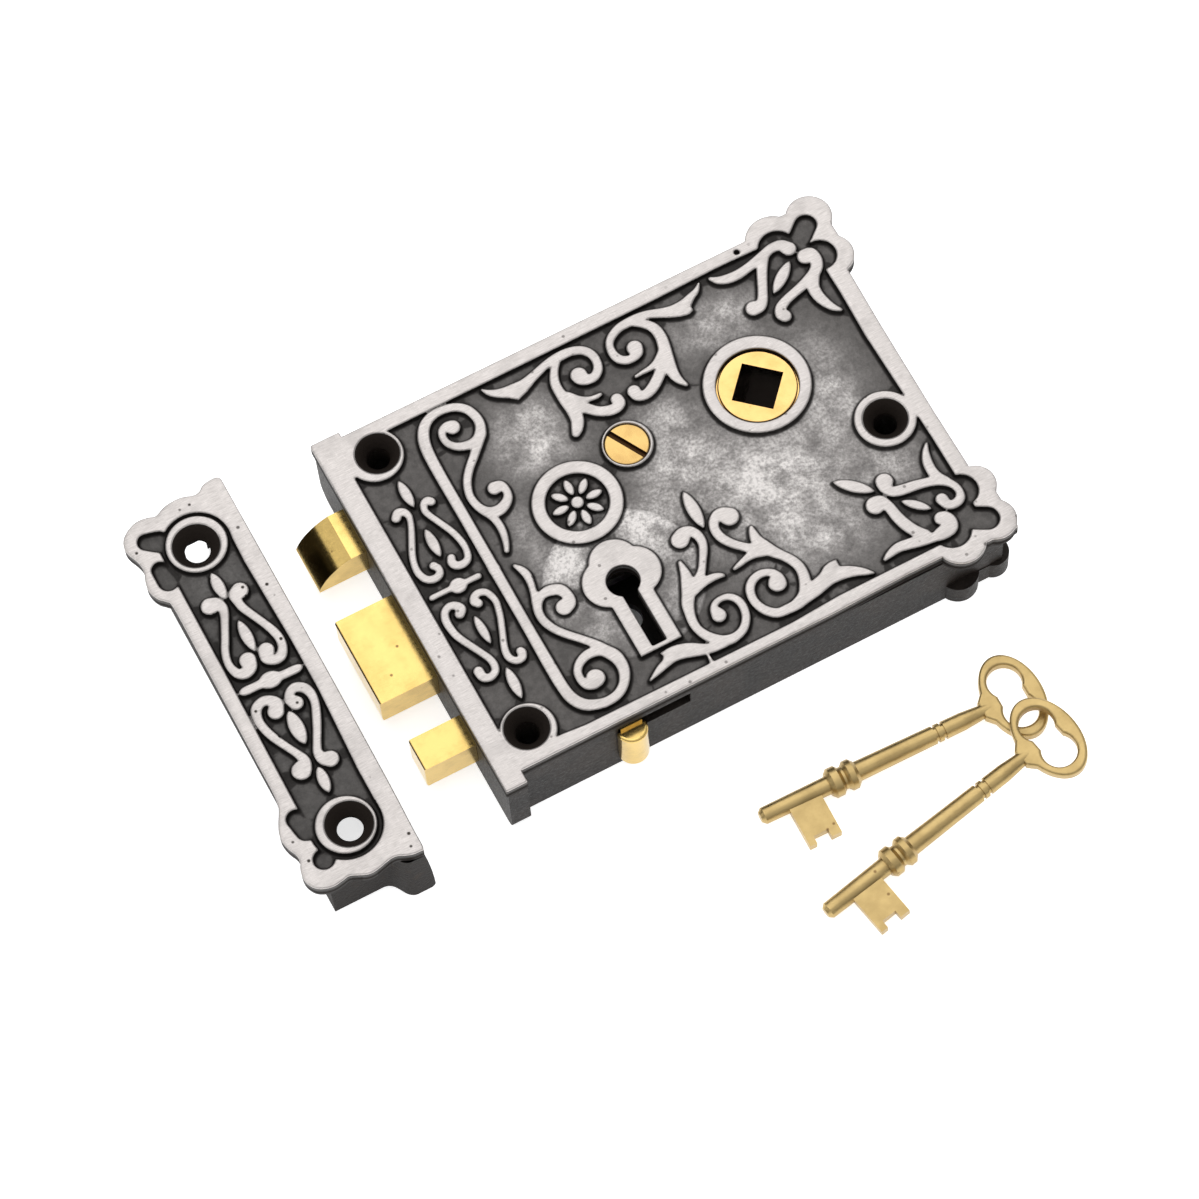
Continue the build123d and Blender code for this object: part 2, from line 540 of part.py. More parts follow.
# ---------------------------------------------------------------- keep: box with ornamented face
KEEP_FACE_UNDER = DEPTH - CAP_THICKNESS
STRIKE_OUT = 0.9         # how far the strike wall swells towards the lock at its base
with BuildPart() as keep:
    with BuildSketch(Plane.XY):
        with BuildLine():
            lower = KEEP_MID_Y - KEEP_BOX_HALF_Y
            strike_end = KEEP_MID_Y - KEEP_STRIP_HALF_Y + 0.2
            Polyline((KEEP_BOX_X, KEEP_MID_Y), (KEEP_BOX_X, lower), (-100.0, lower))
            flare = Spline((-100.0, lower), (KEEP_STRIP_X + 0.9, strike_end),
                           tangents=((1, 0), (1, -0.15)))
            Polyline(flare @ 1, (KEEP_X[1] - 0.4, strike_end), (KEEP_X[1] - 0.4, KEEP_MID_Y))
            mirror(about=Plane.XZ.offset(-KEEP_MID_Y))
        make_face()
    extrude(amount=KEEP_FACE_UNDER)
    with BuildSketch(Plane.XZ.offset(-(KEEP_MID_Y + KEEP_STRIP_HALF_Y - 0.2))):
        with BuildLine():
            base_x = KEEP_X[1] + STRIKE_OUT
            Polyline((KEEP_X[1] - 0.4, KEEP_FACE_UNDER), (KEEP_X[1] - 2.0, KEEP_FACE_UNDER),
                     (KEEP_X[1] - 2.0, 0), (base_x - 1.2, 0))
            RadiusArc((base_x - 1.2, 0), (base_x, 1.6), radius=-1.6)
            ThreePointArc((base_x, 1.6), (KEEP_X[1] + 0.5, 11.0), (KEEP_X[1] - 0.4, KEEP_FACE_UNDER))
        make_face()
    extrude(amount=2 * (KEEP_STRIP_HALF_Y - 0.2))
    with BuildSketch(Plane.XY.offset(KEEP_FACE_UNDER)):
        rect(KEEP_X, (KEEP_MID_Y - KEEP_HALF_Y, KEEP_MID_Y + KEEP_HALF_Y))
        rect((KEEP_STRIP_X, KEEP_X[1]), (KEEP_MID_Y - KEEP_STRIP_HALF_Y, KEEP_MID_Y + KEEP_STRIP_HALF_Y))
        for x, y, radius in KEEP_LOBES:
            with Locations((x, KEEP_MID_Y + y), (x, KEEP_MID_Y - y)):
                Circle(radius)
    extrude(amount=CAP_THICKNESS)
    hole_places = [(KEEP_HOLE_X, KEEP_MID_Y + side * KEEP_HOLE_OUT) for side in (-1, 1)]
    with BuildSketch(Plane.XY.offset(FIELD_Z)):
        rect((KEEP_RECESS_X, KEEP_STRIP_X),
             (KEEP_MID_Y - KEEP_RECESS_HALF_Y, KEEP_MID_Y + KEEP_RECESS_HALF_Y))
        with Locations(*hole_places):
            Circle(KEEP_RING_R, mode=Mode.SUBTRACT)
    extrude(amount=RELIEF, mode=Mode.SUBTRACT)
    with BuildSketch(Plane.XY):
        rect(KEEP_POCKET_X, (KEEP_MID_Y - KEEP_POCKET_HALF_Y, KEEP_MID_Y + KEEP_POCKET_HALF_Y))
    extrude(amount=KEEP_FACE_UNDER, mode=Mode.SUBTRACT)
    with BuildSketch(Plane.XY):
        rect(KEEP_NOTCH_X, (KEEP_MID_Y + KEEP_POCKET_HALF_Y - 1, KEEP_MID_Y + KEEP_BOX_HALF_Y + 1))
    extrude(amount=KEEP_NOTCH_HEIGHT, mode=Mode.SUBTRACT)
    for y_range in (LATCH_Y, DEADBOLT_Y, SNIB_Y):
        with BuildSketch(Plane.XY.offset(BOLT_Z[0] - KEEP_WINDOW_GAP)):
            rect((KEEP_POCKET_X[1] - 1, KEEP_X[1] + 2),
                 (y_range[0] - KEEP_WINDOW_GAP, y_range[1] + KEEP_WINDOW_GAP))
        extrude(amount=BOLT_Z[1] - BOLT_Z[0] + 2 * KEEP_WINDOW_GAP, mode=Mode.SUBTRACT)
    with Locations(*[Location((x, y, DEPTH)) for x, y in hole_places]):
        CounterSinkHole(radius=KEEP_HOLE_R, counter_sink_radius=KEEP_COUNTERSINK_R,
                        counter_sink_angle=COUNTERSINK_ANGLE)
finish(keep, "keep")

# ---------------------------------------------------------------- keys
COLLARS = ((17.8, 21.4), (22.0, 25.2))    # along the shank from the tip
GROOVES = (46.0, 47.9)
BOW_CENTRE = KEY_LENGTH + 7.5


def key(plane):
    """A brass lever key lying in the plane: X along the shank from its tip, Z through the bow."""
    with BuildPart() as piece:
        with BuildSketch(plane):
            with Locations((BOW_CENTRE, 0)):
                Ellipse(*BOW_HALF)
            Polygon((KEY_LENGTH - 1.0, KEY_SHANK_R - 0.3), (KEY_LENGTH - 1.0, 0.3 - KEY_SHANK_R),
                    (KEY_LENGTH + 3.0, -6.5), (KEY_LENGTH + 3.0, 6.5), align=None)
        extrude(amount=BOW_THICKNESS / 2, both=True)
        with BuildSketch(plane):
            with Locations((BOW_CENTRE - 0.2, 4.1), (BOW_CENTRE - 0.2, -4.1)):
                Ellipse(4.2, 4.3)
            with Locations((BOW_CENTRE - 0.2, 0)):
                Rectangle(6.6, 7.0)
        extrude(amount=BOW_THICKNESS, both=True, mode=Mode.SUBTRACT)
        flat_faces = piece.faces().sort_by(Axis(plane.origin, plane.z_dir))
        fillet(flat_faces[0].edges() + flat_faces[-1].edges(), radius=BOW_EDGE_R)
        with BuildSketch(plane):
            with BuildLine():
                Polyline((0, 0), (0, 1.3), (0.9, 2.1), (COLLARS[0][0], 2.3))
                edge = (COLLARS[0][0], 2.3)
                for start, end in COLLARS:
                    Polyline(edge, (start, KEY_COLLAR_R - 0.9), (start + 0.9, KEY_COLLAR_R),
                             (end - 0.9, KEY_COLLAR_R), (end, KEY_COLLAR_R - 0.9))
                    edge = (end, KEY_COLLAR_R - 0.9)
                Polyline(edge, (COLLARS[1][1], KEY_SHANK_R + 0.1), (KEY_LENGTH - 6.0, KEY_SHANK_R - 0.2),
                         (KEY_LENGTH + 2.0, BOW_THICKNESS / 2), (KEY_LENGTH + 2.0, 0), (0, 0))
            make_face()
            with Locations(*[(x, KEY_SHANK_R) for x in GROOVES]):
                Rectangle(0.8, 1.2, mode=Mode.SUBTRACT)
        revolve(axis=Axis(plane.origin, plane.x_dir))
        with BuildSketch(plane):
            rect(KEY_BIT, (-KEY_BIT_REACH, -1.0))
            with Locations(((KEY_BIT[0] + KEY_BIT[1]) / 2 - 0.4, -KEY_BIT_REACH)):
                Rectangle(3.8, 4.0, mode=Mode.SUBTRACT)
        extrude(amount=KEY_BIT_THICKNESS / 2, both=True)
    return piece


def key_plane(tip, heading, pitch):
    """Plane of a key from its tip, its heading on the floor and its pitch, in degrees."""
    turn = math.radians(heading)
    rise = math.radians(pitch)
    along = (math.cos(rise) * math.cos(turn), math.cos(rise) * math.sin(turn), math.sin(rise))
    normal = (-math.sin(rise) * math.cos(turn), -math.sin(rise) * math.sin(turn), math.cos(rise))
    return Plane(origin=tip, x_dir=along, z_dir=normal)


KEY_PLANES = (key_plane((-15.3, -78.0, 3.8), -1.6, 0.0), key_plane((-13.2, -105.6, 2.4), 9.8, 4.6))
for index, plane in enumerate(KEY_PLANES, start=1):
    finish(key(plane), f"key_{index}")
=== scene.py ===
"""Cast-iron rim lock set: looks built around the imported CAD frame.

The ornamented castings are relief meshes made from signed distances on a grid.
Lengths here are millimetres in the frame's own axes, and MM turns them into metres.
"""

import math

import bmesh
import bpy
import numpy as np
from mathutils import Matrix, Vector
from mathutils.geometry import delaunay_2d_cdt


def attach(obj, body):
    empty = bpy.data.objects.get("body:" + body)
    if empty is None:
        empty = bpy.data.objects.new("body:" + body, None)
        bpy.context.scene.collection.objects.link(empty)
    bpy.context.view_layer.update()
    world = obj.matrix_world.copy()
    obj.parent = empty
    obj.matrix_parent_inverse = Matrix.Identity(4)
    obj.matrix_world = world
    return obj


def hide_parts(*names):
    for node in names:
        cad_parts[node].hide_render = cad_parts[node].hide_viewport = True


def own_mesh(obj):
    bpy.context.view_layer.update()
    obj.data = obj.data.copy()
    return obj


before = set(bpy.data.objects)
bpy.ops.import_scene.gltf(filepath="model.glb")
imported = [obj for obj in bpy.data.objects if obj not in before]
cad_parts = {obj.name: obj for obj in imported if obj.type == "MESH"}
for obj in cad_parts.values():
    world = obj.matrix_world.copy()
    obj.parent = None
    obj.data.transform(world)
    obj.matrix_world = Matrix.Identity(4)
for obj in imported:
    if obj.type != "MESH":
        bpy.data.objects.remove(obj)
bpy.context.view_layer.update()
MM = 0.001

# ------------ heights and grid sizes shared by both castings
TOP = 24.0
FIELD = 22.5
UNDER = 20.2
# Distance inside the ornament's edge, and the share of its full rise that is reached there.
LEVELS = ((-0.62, 0.0), (-0.27, 0.13), (-0.04, 0.80), (0.11, 0.955), (0.34, 1.0))
# Distance inside the plate's edge, and how far its rounded top has dropped there.
EDGE_LEVELS = ((0.0, 0.24), (0.1, 0.07), (0.32, 0.0))
GRID = 0.2               # spacing of the distance grids
STEP = 0.36              # spacing of points along contours
SCATTER = 1.25           # spacing of points between contours
JITTER = 0.3
BLEND = 0.4              # fillet where strokes meet
THINNEST = 0.12
REACH = 3.2              # how far outside a stroke its distances are kept
POCKET_REACH = 5.0
FAR = -9.0               # distance of points out of every reach
SHARP_ANGLE = math.radians(48)

# The rise attribute holds the distance inside the ornament, or one of these marks.
RISE_RANGE = (-2.4, 3.0)
TOP_MARK = 0.2
WALL_MARK = -9.0
HOLE_MARK = -6.0

# ------------ ornament: spines as (x, y, full width)
LEFT_STRIP = [
    [(-57.6, 22.9, 2.3), (-56.6, 23.9, 2.3), (-55.3, 23.4, 2), (-54.72, 22.1, 1.65), (-55, 20.6, 1.5),
     (-55.7, 18.7, 1.55), (-57.05, 15.8, 1.65), (-58.55, 12.6, 1.65), (-59.4, 9.6, 1.65), (-59.4, 7.2, 1.8),
     (-58.5, 5.2, 1.9), (-56.8, 4.45, 2), (-55.2, 5, 1.9), (-54.8, 6.4, 1.8), (-55.5, 7.6, 2)],
    [(-48.35, 22.8, 2.1), (-49, 23.5, 2), (-50.1, 23.1, 1.9), (-50.75, 21.6, 1.65), (-50.4, 19.9, 1.6),
     (-49.05, 16.8, 1.6), (-47.6, 13.3, 1.65), (-46.85, 10, 1.65), (-46.85, 7.5, 1.6), (-47.6, 5.4, 1.8),
     (-49.2, 4.65, 2), (-50.8, 5.1, 2.1), (-51.3, 6.3, 2.1), (-50.9, 7.4, 2)],
    [(-55.75, -6.45, 2.4), (-54.95, -5.4, 2.4), (-55.7, -4.1, 2.1), (-57.1, -3.6, 1.9), (-58.7, -4.5, 1.9),
     (-59.45, -6.8, 1.95), (-59.2, -10.2, 1.85), (-58.4, -12.6, 1.8), (-57.3, -14.9, 1.75),
     (-55.9, -17.8, 1.7), (-54.9, -20.1, 1.75), (-54.7, -22, 1.85), (-55.3, -23.5, 1.9), (-56.9, -24.25, 2),
     (-58.4, -23.5, 2.2), (-58.65, -21.6, 2.4)],
    [(-50.75, -6.1, 2.2), (-51.3, -5.2, 2.2), (-50.6, -4.1, 2), (-49.2, -3.8, 1.9), (-47.7, -4.7, 1.75),
     (-46.9, -7.3, 1.6), (-47.4, -10.2, 1.6), (-48.2, -12.8, 1.6), (-49.5, -16.2, 1.6), (-50.4, -18.5, 1.7),
     (-50.9, -20.6, 1.8), (-50.7, -22.3, 1.8), (-49.6, -23.5, 1.8), (-48.2, -23.4, 2), (-47.65, -22.3, 2.2),
     (-47.75, -21.7, 2)],
    [(-59.6, 0.35, 1.4), (-54.5, 0.35, 1.4), (-52.75, 0.2, 1.6), (-51, 0.2, 1.45), (-47.5, 0.15, 1.55)],
    [(-52.9, 0.2, 3.9), (-52.6, 0.2, 3.9)],
]
TALL_BAR = [
    [(-43.4, 0, 2.65), (-43.35, 15, 2.6), (-43.35, 28, 2.7), (-43.1, 34.8, 2.8), (-42.35, 38.5, 2.85),
     (-40.7, 41.3, 2.7), (-38.3, 42.8, 2.4), (-35.4, 43.15, 2.15), (-32.2, 42.45, 2.2), (-29.9, 40.6, 2.3),
     (-28.85, 38, 2.3), (-28.85, 35.5, 2.45), (-29.9, 33.3, 2.7), (-31.6, 32, 2.6), (-33.9, 31.85, 2.4),
     (-36.3, 32.75, 2.1), (-37.8, 34.4, 1.85), (-38.2, 36.4, 1.75), (-37.6, 38.1, 2), (-36.1, 38.6, 2.6),
     (-34.95, 37.9, 3.7)],
    [(-29.9, 33, 2.6), (-31.8, 30.9, 2.4), (-34.2, 28.4, 2.2), (-36.5, 26.1, 2.1), (-38.4, 23.5, 2.05),
     (-39.5, 20.6, 1.95), (-39.65, 18.4, 1.95), (-39.1, 15.9, 2.1), (-37.9, 14, 2.5), (-36, 13.05, 2.9),
     (-34, 13.4, 2.75), (-32.1, 14.8, 2.3), (-31.45, 16.8, 1.95), (-32.1, 18.5, 2.6), (-33.6, 18.7, 3.4)],
    [(-38.2, 14, 2), (-37.4, 11.8, 1.9), (-37.05, 9.5, 1.9), (-37.2, 7.2, 1.8), (-37.8, 4.8, 1.55),
     (-38.6, 2.8, 1.2)],
    [(-43.4, 0, 2.65), (-43.45, -15, 2.5), (-43.5, -28, 2.8), (-43.4, -34.5, 2.75), (-42.8, -38.2, 2.85),
     (-41.1, -40.9, 2.9), (-38.6, -42.25, 2.65), (-35.7, -42.8, 2.4), (-32.7, -42.2, 2.4),
     (-30.4, -40.4, 2.4), (-29, -37.8, 2.7), (-28.75, -35.2, 2.95), (-29.5, -32.7, 3.1),
     (-31.4, -30.7, 2.6), (-34.3, -30.1, 2.45), (-36.8, -30.9, 2.2), (-38.45, -32.6, 2),
     (-38.85, -34.8, 1.95), (-38.3, -36.8, 2.1), (-36.9, -37.3, 2.8), (-35.7, -36.3, 4.6)],
    [(-29.4, -33.2, 2.6), (-30.7, -30.4, 2.5), (-32.2, -28, 2.05), (-34.2, -25.6, 1.9),
     (-36.2, -23.4, 1.95), (-38, -21, 2), (-39.2, -18.4, 2.1), (-39.55, -16.1, 2.05), (-39.2, -14, 2.2),
     (-38.2, -12.2, 2.5), (-36.5, -11.4, 2.3), (-34.6, -11.35, 2.7), (-32.4, -12.35, 2.8),
     (-31.6, -14.5, 2.65), (-32.1, -16.2, 3.3), (-33.6, -16.75, 4)],
    [(-38.5, -12.2, 2.4), (-38.1, -9.8, 1.7), (-37.6, -7.5, 1.7), (-37.4, -5.2, 2), (-37.9, -3.3, 1.7),
     (-38.85, -1.6, 0.8)],
]
TOP_SPRAYS = [
    [(-24.3, 43.4, 0.4), (-23.2, 42, 1.4), (-21.8, 40.95, 2.1), (-19.9, 40.1, 2.8), (-17.6, 39.5, 3.6),
     (-15, 39.6, 3.2), (-12.5, 40.4, 2.5), (-10, 41.25, 2.2), (-7.2, 42.1, 2.1), (-4.2, 42.35, 2.5),
     (-1, 42.25, 2.35), (1.6, 41.2, 2.3), (3.1, 39.2, 2.25), (3.3, 36.9, 2.15), (2.55, 34.8, 2.3),
     (0.9, 33.5, 2.4), (-0.8, 33.6, 2.7), (-1.95, 34.6, 3.6), (-2.15, 35.65, 4.1)],
    [(-5.3, 41.3, 1.8), (-6.9, 39.3, 2), (-8.1, 36.6, 2.35), (-8.3, 34, 2.5), (-8.05, 31, 3),
     (-7.7, 28.3, 3.3), (-8, 25.4, 3.2), (-9.1, 23.3, 2.8), (-10, 22.2, 2)],
    [(-7.2, 31.8, 2.6), (-5.2, 29.6, 2.3), (-3, 28.8, 1.35), (-1.2, 28.5, 1.15), (0, 28.6, 0.8)],
    [(-7.4, 29.2, 2.6), (-4.9, 27.1, 2.7), (-2.75, 24.95, 2.6), (-0.6, 23.85, 2.75), (1.4, 23.55, 2.8),
     (2.85, 24.3, 2.8), (2.8, 25.5, 3.1)],
    [(34.8, 43.7, 0.4), (33.2, 42.2, 1.4), (31.2, 41.3, 2), (29.2, 40.3, 2.9), (27.2, 39.75, 3.6),
     (25, 40.15, 3.1), (22.5, 41.15, 2.5), (20, 42.15, 2.2), (17.3, 42.65, 2.1), (14.7, 42.5, 2.4),
     (12, 42.2, 2.2), (9.4, 40.9, 2.05), (8.05, 39.2, 1.9), (7.7, 36.9, 2.1), (8.25, 34.9, 2.3),
     (9.7, 33.7, 2.25), (11.4, 33.5, 2.2), (12.7, 34.4, 3.2), (13, 35.7, 3.9)],
    [(15.8, 41.9, 1.8), (18.2, 40.1, 2.3), (19.6, 38, 2.65), (19.85, 35.3, 2.8), (19.4, 32.9, 3),
     (18.7, 30.2, 3.1), (18.1, 27.5, 3), (17.8, 25, 2.7), (18.2, 22.8, 1.9), (19.1, 21, 0.9)],
    [(18.5, 31.4, 2.6), (15.9, 29.7, 2), (13.7, 29.05, 1.45), (11.4, 28.9, 1.05), (9.6, 28.7, 0.7)],
    [(18, 29.4, 2.7), (15.6, 27.2, 2.75), (13.5, 25.4, 2.8), (11.4, 24, 2.8), (9.3, 23.3, 2.55),
     (7.6, 23.9, 2.7), (7.35, 25.4, 3.3)],
]
LOWER_SPRAYS = [
    [(-1.75, -14.55, 4.3), (-0.3, -13.6, 3.6), (1.3, -13.6, 2.7), (2.4, -15.2, 2.4), (2.6, -17.2, 2.2),
     (1.9, -19.3, 2.05), (0.45, -21.7, 1.8), (-1.1, -24, 1.9), (-3, -25.9, 2.6)],
    [(-4.5, -19.7, 0.9), (-4.65, -21.3, 1.6), (-4.9, -23.3, 2.5), (-5.6, -25.6, 3.2), (-6.8, -28, 3.1),
     (-8, -30, 2.9), (-8.75, -32.3, 2.4), (-9.15, -34.8, 2.25), (-8.95, -37, 2.15), (-7.9, -39.4, 2.4),
     (-6, -41.6, 2.6), (-4, -42.65, 2.6), (-1.7, -42.6, 2.2), (0.4, -41.7, 2.1), (2.2, -39.6, 2),
     (2.95, -37, 1.95), (2.7, -34.7, 1.9), (1.35, -33, 1.75), (-0.5, -32.5, 1.5), (-2.2, -32.85, 1.6),
     (-3.2, -33.9, 1.8), (-3.1, -35.2, 2.9), (-3, -36, 3.5)],
    [(-5.4, -27.2, 3.4), (-2.4, -26.8, 2.4), (0.4, -26.75, 1.9), (2, -27.1, 1.4), (2.8, -27.5, 0.8)],
    [(-24.8, -42.9, 0.4), (-23.2, -42.2, 1.2), (-21.3, -41.4, 1.9), (-19.3, -40.7, 2.3),
     (-17.2, -39.7, 3.7), (-14.8, -40, 3.8), (-12.7, -40.8, 3.6), (-10.5, -41.85, 2.9), (-8.2, -42.6, 2.4),
     (-5.5, -42.75, 2.4)],
    [(11.3, -14.7, 4.7), (10.1, -13.4, 3.6), (8.6, -13.3, 2.7), (7.2, -14.6, 2.4), (6.7, -16.6, 2.3),
     (7.15, -18.9, 2.35), (8.6, -21.3, 2.25), (10.6, -23.4, 2.2), (12.8, -25.4, 2.8)],
    [(14.4, -19.8, 1.1), (14.1, -21.3, 2), (14, -23.3, 2.8), (14.8, -25.8, 3.3), (16.1, -28, 2.8),
     (17.35, -29.7, 2.4), (18.6, -31.7, 2.45), (19.35, -33.9, 2.5), (19.3, -36, 2.6), (18.6, -38.3, 2.8),
     (17, -40.8, 2.8), (14.4, -42.25, 2.7), (11.6, -42.35, 2.5), (9.1, -42, 2.4), (7.15, -40.2, 2.3),
     (6.1, -37.9, 2.1), (5.95, -35.5, 2.1), (6.7, -33.3, 2.2), (8.4, -31.8, 2.1), (10.7, -31.35, 2),
     (12.8, -32.2, 2), (13.5, -33.9, 2.9), (12.9, -35.3, 4.4)],
    [(14.2, -26.3, 3.2), (11.6, -26, 2.4), (9.4, -26.3, 1.7), (7.5, -26.8, 1.35), (5.9, -27.2, 0.8)],
    [(33.8, -43.9, 0.4), (32.2, -42.7, 1.7), (30.3, -41.5, 2.5), (28.3, -40.6, 3.2), (26.2, -40.1, 3.6),
     (24, -39.95, 3.8), (21.8, -40.35, 3.9), (19.6, -41, 3.7), (17.2, -41.6, 3.2), (14.8, -42.2, 2.8)],
    [(-10.1, -43.6, 0.5), (-10.2, -46.2, 1)],
]
CORNER_SPRAYS = [
    [(37.7, 43.5, 0.8), (39.1, 42.2, 1.9), (41.2, 41.4, 2.5), (44, 41.2, 2.6), (46.8, 41.6, 2.4),
     (49.5, 42.2, 2.5), (52.2, 42.9, 2.6), (54.6, 43.6, 2.5), (57, 43.2, 3), (58.25, 41.5, 3.7)],
    [(51.8, 42.2, 2.4), (50, 39.8, 2.6), (48.6, 37.2, 2.5), (47.3, 34.6, 2.4), (46, 32.3, 2.6),
     (44.6, 31.1, 3.1), (43, 31.25, 3.9)],
    [(60.75, 37.7, 4), (62, 37.5, 3.8), (62.5, 35.9, 3.2), (61.9, 34.1, 3), (60.4, 32.7, 2.9),
     (58.2, 31.7, 2.7), (55.8, 30.85, 2.5), (53.3, 30.15, 2.35), (50.9, 29.4, 2.4), (48.9, 28.3, 2.7),
     (48.15, 26.8, 3.1), (48.6, 25.8, 3.2)],
    [(60, 32, 2.6), (58.45, 29.6, 3), (58.2, 27.2, 2.9), (58.75, 24.6, 2.5), (59.8, 22.3, 1.8),
     (61.1, 20.8, 0.8)],
    [(47.6, -24.4, 4.3), (46.9, -26, 2.6), (48, -27.6, 2.6), (50.3, -28.3, 2.75), (53, -28.7, 2.6),
     (55.7, -29.25, 2.4), (58.3, -30.1, 2.4), (60.3, -31.5, 2.1), (61.55, -33.3, 1.9), (61.8, -35.2, 1.9),
     (61, -36.8, 2.3), (59.3, -37.4, 2.3), (57.7, -36.8, 2.4), (57.2, -34.9, 3)],
    [(61.2, -20.5, 0.7), (60, -22.3, 1.6), (59.1, -24.6, 2.35), (58.8, -27, 2.5), (59.1, -29.3, 2.7),
     (60.4, -31.2, 2.2)],
    [(42.75, -28.8, 4.6), (44.2, -28.7, 3.4), (45.3, -30.6, 2.7), (45.7, -33.6, 2.8), (46.4, -36.4, 2.95),
     (47.5, -38.9, 2.95), (49.1, -41.2, 3)],
    [(37.9, -42.1, 0.9), (39.5, -41.5, 1.8), (42, -41, 2.5), (44.8, -41.4, 2.75), (47.6, -42, 2.9),
     (50.6, -42.7, 2.4), (53, -42.65, 3.5), (55.2, -42.2, 3.7), (56, -40.8, 3.3), (55.5, -39.5, 3.2),
     (54.6, -39.2, 3.4)],
]
# Leaves run from tip to tip: x, y, x, y, greatest width.
CAP_LEAVES = [
    (-52.75, 31.4, -52.57, 23.5, 2.5), (-52.93, 17.1, -52.93, 8.9, 2.5), (-53.08, -8.5, -52.9, -16.7, 2.15),
    (-52.6, -23.8, -53, -32.5, 2.55), (4.9, -3.7, 4.7, -14.4, 3.1), (49.2, 32.5, 56.8, 38.4, 2.9),
    (37, -18.6, 44.4, -25.5, 2.9), (48.6, -30.8, 53.8, -35.9, 2.2),
]
# Points that stick out of the strokes, as outlines.
THORNS = [
    [(-17.9, 39.8), (-19.25, 38), (-17.75, 36.75), (-14.9, 37.8), (-13.5, 39.5)],
    [(31, 40.6), (30, 39.2), (30.15, 37.9), (28.7, 37.35), (26.5, 37.9), (26, 39.5)],
    [(-14.5, -38.6), (-17.6, -37.75), (-19.6, -38), (-18.9, -39.5), (-17, -40.5)],
    [(22.5, -38.2), (24.4, -36.9), (26, -36.5), (27.8, -36.6), (27.7, -38.2), (27.4, -40.4), (24, -40)],
]
KEEP_STROKES = [
    [(-106.2, 23.6, 4.3), (-104.7, 23.3, 3.4), (-103.8, 21.8, 2.45), (-104.2, 19.9, 2.1),
     (-105.4, 17.2, 1.9), (-106.8, 14.2, 1.9), (-108.1, 11.5, 1.9), (-108.8, 8.8, 1.85), (-108.7, 6.6, 2),
     (-107.9, 4.8, 2.4), (-106.4, 4.25, 3), (-104.8, 5, 3.2), (-104.5, 6.9, 4)],
    [(-98.3, 23.9, 4.2), (-99.7, 23.4, 3), (-99.9, 21.6, 2.2), (-99.5, 19.4, 2.1), (-98.3, 16.6, 1.95),
     (-96.9, 13.4, 1.95), (-95.95, 10.8, 2.1), (-95.5, 8.3, 2.1), (-95.9, 5.9, 2.2), (-97.2, 4.2, 2.6),
     (-98.9, 3.9, 2.4), (-100.2, 5.2, 3), (-99.6, 7.1, 3.9)],
    [(-104.5, -8, 3.9), (-103.6, -6.2, 3.2), (-104.7, -4.7, 2.6), (-106.4, -4.3, 2.5), (-108.3, -5.4, 2.6),
     (-109, -7.9, 2.1), (-108.8, -10.5, 2.05), (-107.95, -13.4, 2.05), (-106.65, -16.3, 1.9),
     (-105.15, -19.3, 1.9), (-104.2, -21.6, 2.3), (-104.2, -22.9, 2.6), (-105.8, -24.1, 4.8)],
    [(-99.4, -8.3, 3.5), (-100.2, -6.7, 2.6), (-99.4, -5.2, 2.3), (-97.8, -4.7, 2.5), (-96, -5.9, 2.5),
     (-95.3, -8.1, 2.15), (-95.6, -10.6, 2), (-96.7, -13.5, 2.1), (-98.05, -16.5, 2), (-99.45, -19.3, 1.95),
     (-100.5, -21.8, 2.2), (-100.1, -23.8, 3), (-98.7, -24.7, 4.1)],
    [(-109.2, 0.15, 1.5), (-108.2, 0.05, 2.2), (-104.5, -0.05, 2.3), (-102, -0.15, 4.3), (-99.6, -0.4, 2.3),
     (-95.8, -0.55, 2.2), (-94.7, -0.5, 1.5)],
]
KEEP_LEAVES = [
    (-102.2, 31.2, -102.05, 23.5, 2.8), (-101.96, 17.15, -101.96, 8.15, 2.75),
    (-101.9, -9.3, -102.1, -18.55, 3.5), (-102.15, -25.15, -102.65, -32.05, 2.7),
]

# ------------ outlines and holes of the cap
CAP_SHEET = ((-68.2, 74), (-53, 54.2))
CAP_OUTLINE = [
    (-67, -51.7), (-61.5, -51.7), (-61.5, -48.5), (20, -48.5), (40, -48), (62, -48.2), (67, -44), (67, -14),
    (67.4, 12), (67.9, 28), (67.4, 44), (62, 48.4), (-59.3, 48.4), (-59.3, 49.8), (-67, 49.8),
]
CORNER_LOBES = ((56, 45.3, 6.8), (66.8, 46.9, 5.7), (66.6, 35, 5.4),
                (66, -35.5, 5), (65.5, -45.5, 5.2), (55.7, -46.2, 6.2))
CORNER_BLOCKS = ((55, 70.6, 33.7, 50.3), (55.1, 69.3, -49.8, -32.2))
CAP_RECESS = [
    (-61.5, -45.05), (-49, -45.05), (-43, -45.6), (-10, -45.8), (11, -45.9), (24, -45.1), (63, -45.1),
    (63.2, -20), (62.8, 12), (63.3, 25), (63.3, 44.9), (40, 45.3), (24, 44.9), (-20, 44.7), (-61.5, 44.6),
]
CAP_POCKETS = [
    [(56, 43, 9.4)], [(62.5, 43.2, 5.5), (65, 45.3, 5.5)], [(64, 36.3, 8.2)], [(55.2, -43, 9.4)],
    [(61.9, -43.2, 6), (64, -44.4, 6)], [(62.3, -35.1, 8.3)], [(46.8, 46.7, 1.5)],
]
FIXING_HOLES = ((-53.8, 40.3), (-55.5, -39.8), (56, -10))
BOSSES = ((-54.6, 40.15, 6.95), (-55.3, -40.3, 6.65), (56, -10, 7.4), (33.9, 12.9, 13),
          (-0.6, 13.8, 6.15), (-18, -12.2, 6), (-21.4, -16.2, 6.45), (-14.9, -16.4, 6.4))
